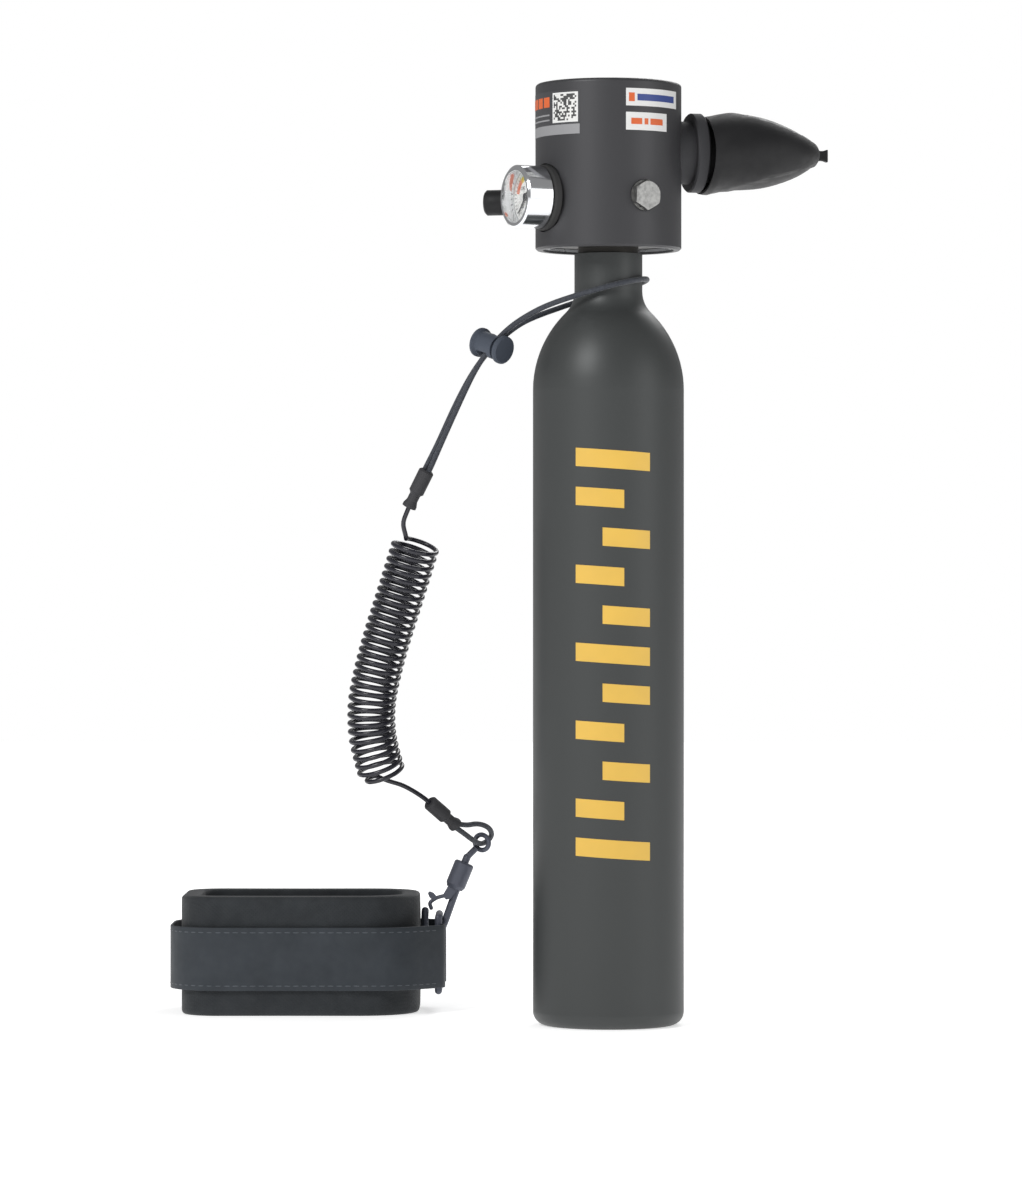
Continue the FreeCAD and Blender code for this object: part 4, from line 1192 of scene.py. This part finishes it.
NECK_ROUTE: tuple[Point, ...] = (
    (-0.0750, 0.0129, 0.2130), (-0.0713, 0.0112, 0.2203), (-0.0662, 0.0086, 0.2320),
    (-0.0586, 0.0040, 0.2486),
    (-0.0526, 0.0002, 0.2610), (-0.0463, -0.0012, 0.2698), (-0.0400, -0.0020, 0.2764),
    (-0.0330, -0.0042, 0.2812),
    (-0.0240, -0.0086, 0.2856), (-0.0106, -0.0140, 0.2897), (0.0000, -0.0165, 0.2926),
    (0.0105, -0.0126, 0.2952),
    (0.0162, -0.0023, 0.2963), (0.0136, 0.0092, 0.2952), (0.0039, 0.0160, 0.2925), (-0.0084, 0.0154, 0.2894),
    (-0.0185, 0.0096, 0.2856), (-0.0270, 0.0050, 0.2824), (-0.0344, 0.0018, 0.2790),
    (-0.0404, 0.0012, 0.2746),
    (-0.0464, 0.0013, 0.2692), (-0.0536, 0.0026, 0.2600), (-0.0604, 0.0060, 0.2476),
    (-0.0680, 0.0104, 0.2309),
    (-0.0730, 0.0129, 0.2213), (-0.0766, 0.0144, 0.2141))
LEAD_TOP_ROUTE: tuple[Point, ...] = (
    (-0.0788, 0.0151, 0.2076), (-0.0806, 0.0159, 0.2036), (-0.0822, 0.0170, 0.1993),
    (-0.0810, 0.0180, 0.1949),
    (-0.0804, 0.0186, 0.1916))
COIL_ROUTE: tuple[Point, ...] = (
    (-0.0766, 0.0180, 0.1918), (-0.0825, 0.0220, 0.1727), (-0.0899, 0.0270, 0.1502),
    (-0.0948, 0.0315, 0.1304),
    (-0.0953, 0.0340, 0.1202), (-0.0945, 0.0360, 0.1100), (-0.0907, 0.0395, 0.0974))
LEAD_BOTTOM_ROUTE: tuple[Point, ...] = (
    (-0.0916, 0.0398, 0.0986), (-0.0903, 0.0410, 0.0960), (-0.0872, 0.0422, 0.0949),
    (-0.0830, 0.0436, 0.0937),
    (-0.0780, 0.0460, 0.0909), (-0.0729, 0.0492, 0.0873), (-0.0696, 0.0519, 0.0841))
END_LOOP_ROUTE: tuple[Point, ...] = (
    (-0.0620, 0.0579, 0.0776), (-0.0576, 0.0612, 0.0762), (-0.0525, 0.0640, 0.0772),
    (-0.0480, 0.0670, 0.0756),
    (-0.0464, 0.0710, 0.0726), (-0.0475, 0.0739, 0.0701), (-0.0499, 0.0732, 0.0685),
    (-0.0517, 0.0696, 0.0684),
    (-0.0545, 0.0650, 0.0703), (-0.0580, 0.0613, 0.0732), (-0.0612, 0.0584, 0.0756))


@dataclass
class Lanyard:
    """The neck cord, the curly cord and the end loop."""

    cord_d: float = 2.2 * MM
    coil_d: float = 1.9 * MM
    turns: int = 31
    per_turn: int = 14
    helix_r: float = 9.05 * MM

    def neck(self) -> None:
        """The doubled cord from the sleeve up round the bottle's neck and back."""
        piece = cord_curve("neck_cord_braid", NECK_ROUTE, self.cord_d)
        length = path_length(line_of(piece))
        settle(piece, "neck_cord_braid", Palette.CORD, "lanyard", replaces=["neck_cord"])

    def curly(self) -> None:
        """The curly cord: its top lead, its turns and its bottom lead as one spline."""
        guide = cord_curve("coil_guide", COIL_ROUTE, self.coil_d)
        steps = self.turns * self.per_turn
        spine = even_steps(line_of(guide), steps + 1)
        bpy.data.objects.remove(guide)
        entry = Vector(LEAD_TOP_ROUTE[-1])
        leave = Vector(LEAD_BOTTOM_ROUTE[0])
        side, other = self.frame_at(spine, 0)
        toward = entry - spine[0]
        start = math.atan2(toward.dot(other), toward.dot(side))
        side, other = self.frame_at(spine, steps)
        toward = leave - spine[-1]
        end = math.atan2(toward.dot(other), toward.dot(side))
        sweep = 2 * math.pi * self.turns + (end - start)
        helix = []
        for k, place in enumerate(spine):
            side, other = self.frame_at(spine, k)
            angle = start + sweep * k / steps
            ease = min(1.0, (k + 4) / (self.per_turn * 0.6), (steps - k + 4) / (self.per_turn * 0.6))
            helix.append(place + (side * math.cos(angle) + other * math.sin(angle)) * self.helix_r * ease)
        route = [Vector(p) for p in LEAD_TOP_ROUTE[:-1]] + helix + [Vector(p) for p in LEAD_BOTTOM_ROUTE[1:]]
        piece = cord_curve("curly_cord", [tuple(p) for p in route], self.coil_d)
        length = path_length(line_of(piece))
        settle(piece, "curly_cord", Palette.COIL, "lanyard",
               replaces=["coil_lead_top", "coil_body", "coil_lead_bottom"])
        LOG.info("curly cord %.3f m", length)

    @staticmethod
    def frame_at(spine: Sequence[Vector], k: int) -> tuple[Vector, Vector]:
        """Two directions square to a path at one of its points."""
        along = (spine[min(k + 1, len(spine) - 1)] - spine[max(k - 1, 0)]).normalized()
        side = along.cross(Vector((0.0, 1.0, 0.0))).normalized()
        return side, along.cross(side).normalized()

    def end_loop(self) -> None:
        """The short cord loop between the lower sleeve and the hook's eye."""
        piece = cord_curve("end_loop_braid", END_LOOP_ROUTE, self.cord_d)
        length = path_length(line_of(piece))
        settle(piece, "end_loop_braid", Palette.CORD, "lanyard", replaces=["end_loop"])

    def build(self) -> None:
        """Lay every cord."""
        self.neck()
        self.curly()
        self.end_loop()


# ---- studio -------------------------------------------------------------------------------------------
@dataclass
class Studio:
    """A white floor with a painted glow, three soft lights and the camera."""

    eye: Point = (-0.0387, -2.0, 0.1681)
    lens: float = 150.6
    ambient: float = 0.29
    lights: tuple[tuple[str, Point, Point, float, float], ...] = (
        ("key", (-0.80, -1.00, 1.05), (-0.02, 0.0, 0.20), 0.55, 10.5),
        ("fill", (1.20, -0.70, 0.55), (0.0, 0.0, 0.18), 0.70, 2.6),
        ("rim", (0.35, 0.95, 1.00), (0.0, 0.0, 0.22), 0.60, 5.0))

    def floor(self) -> None:
        """A white floor plane under the object, with a painted glow: it emits white light, weaker near the
        object and stronger further out.
        """
        clear_selection()
        bpy.ops.mesh.primitive_plane_add(size=8.0, location=(0.0, 0.0, 0.0))
        piece = bpy.context.object
        piece.name = "studio_floor"
        tree = Nodes("studio_white_painted_glow")
        tree.shader.inputs["Base Color"].default_value = (0.97, 0.97, 0.97, 1.0)
        tree.shader.inputs["Roughness"].default_value = 0.6
        # Painted glow: the floor emits white light so it reads white, less near the object so faint shadows
        # stay there, more further out.
        tree.shader.inputs["Emission Color"].default_value = (1.0, 1.0, 1.0, 1.0)
        reach = tree.add("VectorMath", operation="LENGTH")
        tree.link(tree.coordinates(), reach.inputs[0])
        glow = tree.add("MapRange", in_From_Min=0.25, in_From_Max=0.9, in_To_Min=0.56, in_To_Max=0.85)
        tree.link(reach.outputs["Value"], glow.inputs["Value"])
        tree.link(glow.outputs["Result"], tree.shader.inputs["Emission Strength"])
        piece.data.materials.append(tree.material)

    def light(self, name: str, place: Point, target: Point, size: float, power: float) -> None:
        """One square soft light.

        Args:
            name: its name.
            place: where it stands.
            target: what it points at.
            size: its side.
            power: its power.
        """
        data = bpy.data.lights.new(name, "AREA")
        data.energy = power
        data.size = size
        lamp = bpy.data.objects.new(name, data)
        lamp.location = place
        lamp.rotation_euler = (Vector(target) - Vector(place)).to_track_quat("-Z", "Y").to_euler()
        bpy.context.scene.collection.objects.link(lamp)

    def build(self) -> None:
        """Set the floor, lights, world and camera."""
        scene = bpy.context.scene
        self.floor()
        for settings in self.lights:
            self.light(*settings)
        world = bpy.data.worlds.new("studio_world")
        world.use_nodes = True
        nodes = world.node_tree.nodes
        nodes["Background"].inputs["Color"].default_value = (1.0, 1.0, 1.0, 1.0)
        seen = nodes.new("ShaderNodeMapRange")
        seen.inputs["To Min"].default_value = self.ambient
        world.node_tree.links.new(nodes.new("ShaderNodeLightPath").outputs["Is Camera Ray"],
                                  seen.inputs["Value"])
        world.node_tree.links.new(seen.outputs["Result"], nodes["Background"].inputs["Strength"])
        scene.world = world
        data = bpy.data.cameras.new("camera")
        data.lens = self.lens
        data.clip_end = 20.0
        camera = bpy.data.objects.new("camera", data)
        camera.location = self.eye
        camera.rotation_euler = (math.pi / 2, 0.0, 0.0)
        scene.collection.objects.link(camera)
        scene.camera = camera
        scene.view_settings.view_transform = "Standard"


def finish_nodes(frame: dict) -> None:
    """Give every CAD node that stays visible its finish.
    """
    for finish, names in NODE_FINISHES.items():
        for name in names:
            piece = frame["nodes"][name]
            piece.data.materials.clear()
            piece.data.materials.append(finish.material())


def main() -> None:
    """Build the looks."""
    logging.basicConfig(level=logging.INFO, format="%(message)s")
    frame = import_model()
    finish_nodes(frame)
    for part in (DepthScale(), HeadLabels(), GaugeScale(), MouthCover(), WristStrap(), Lanyard(), Studio()):
        part.build()


if __name__ == "__main__":
    main()
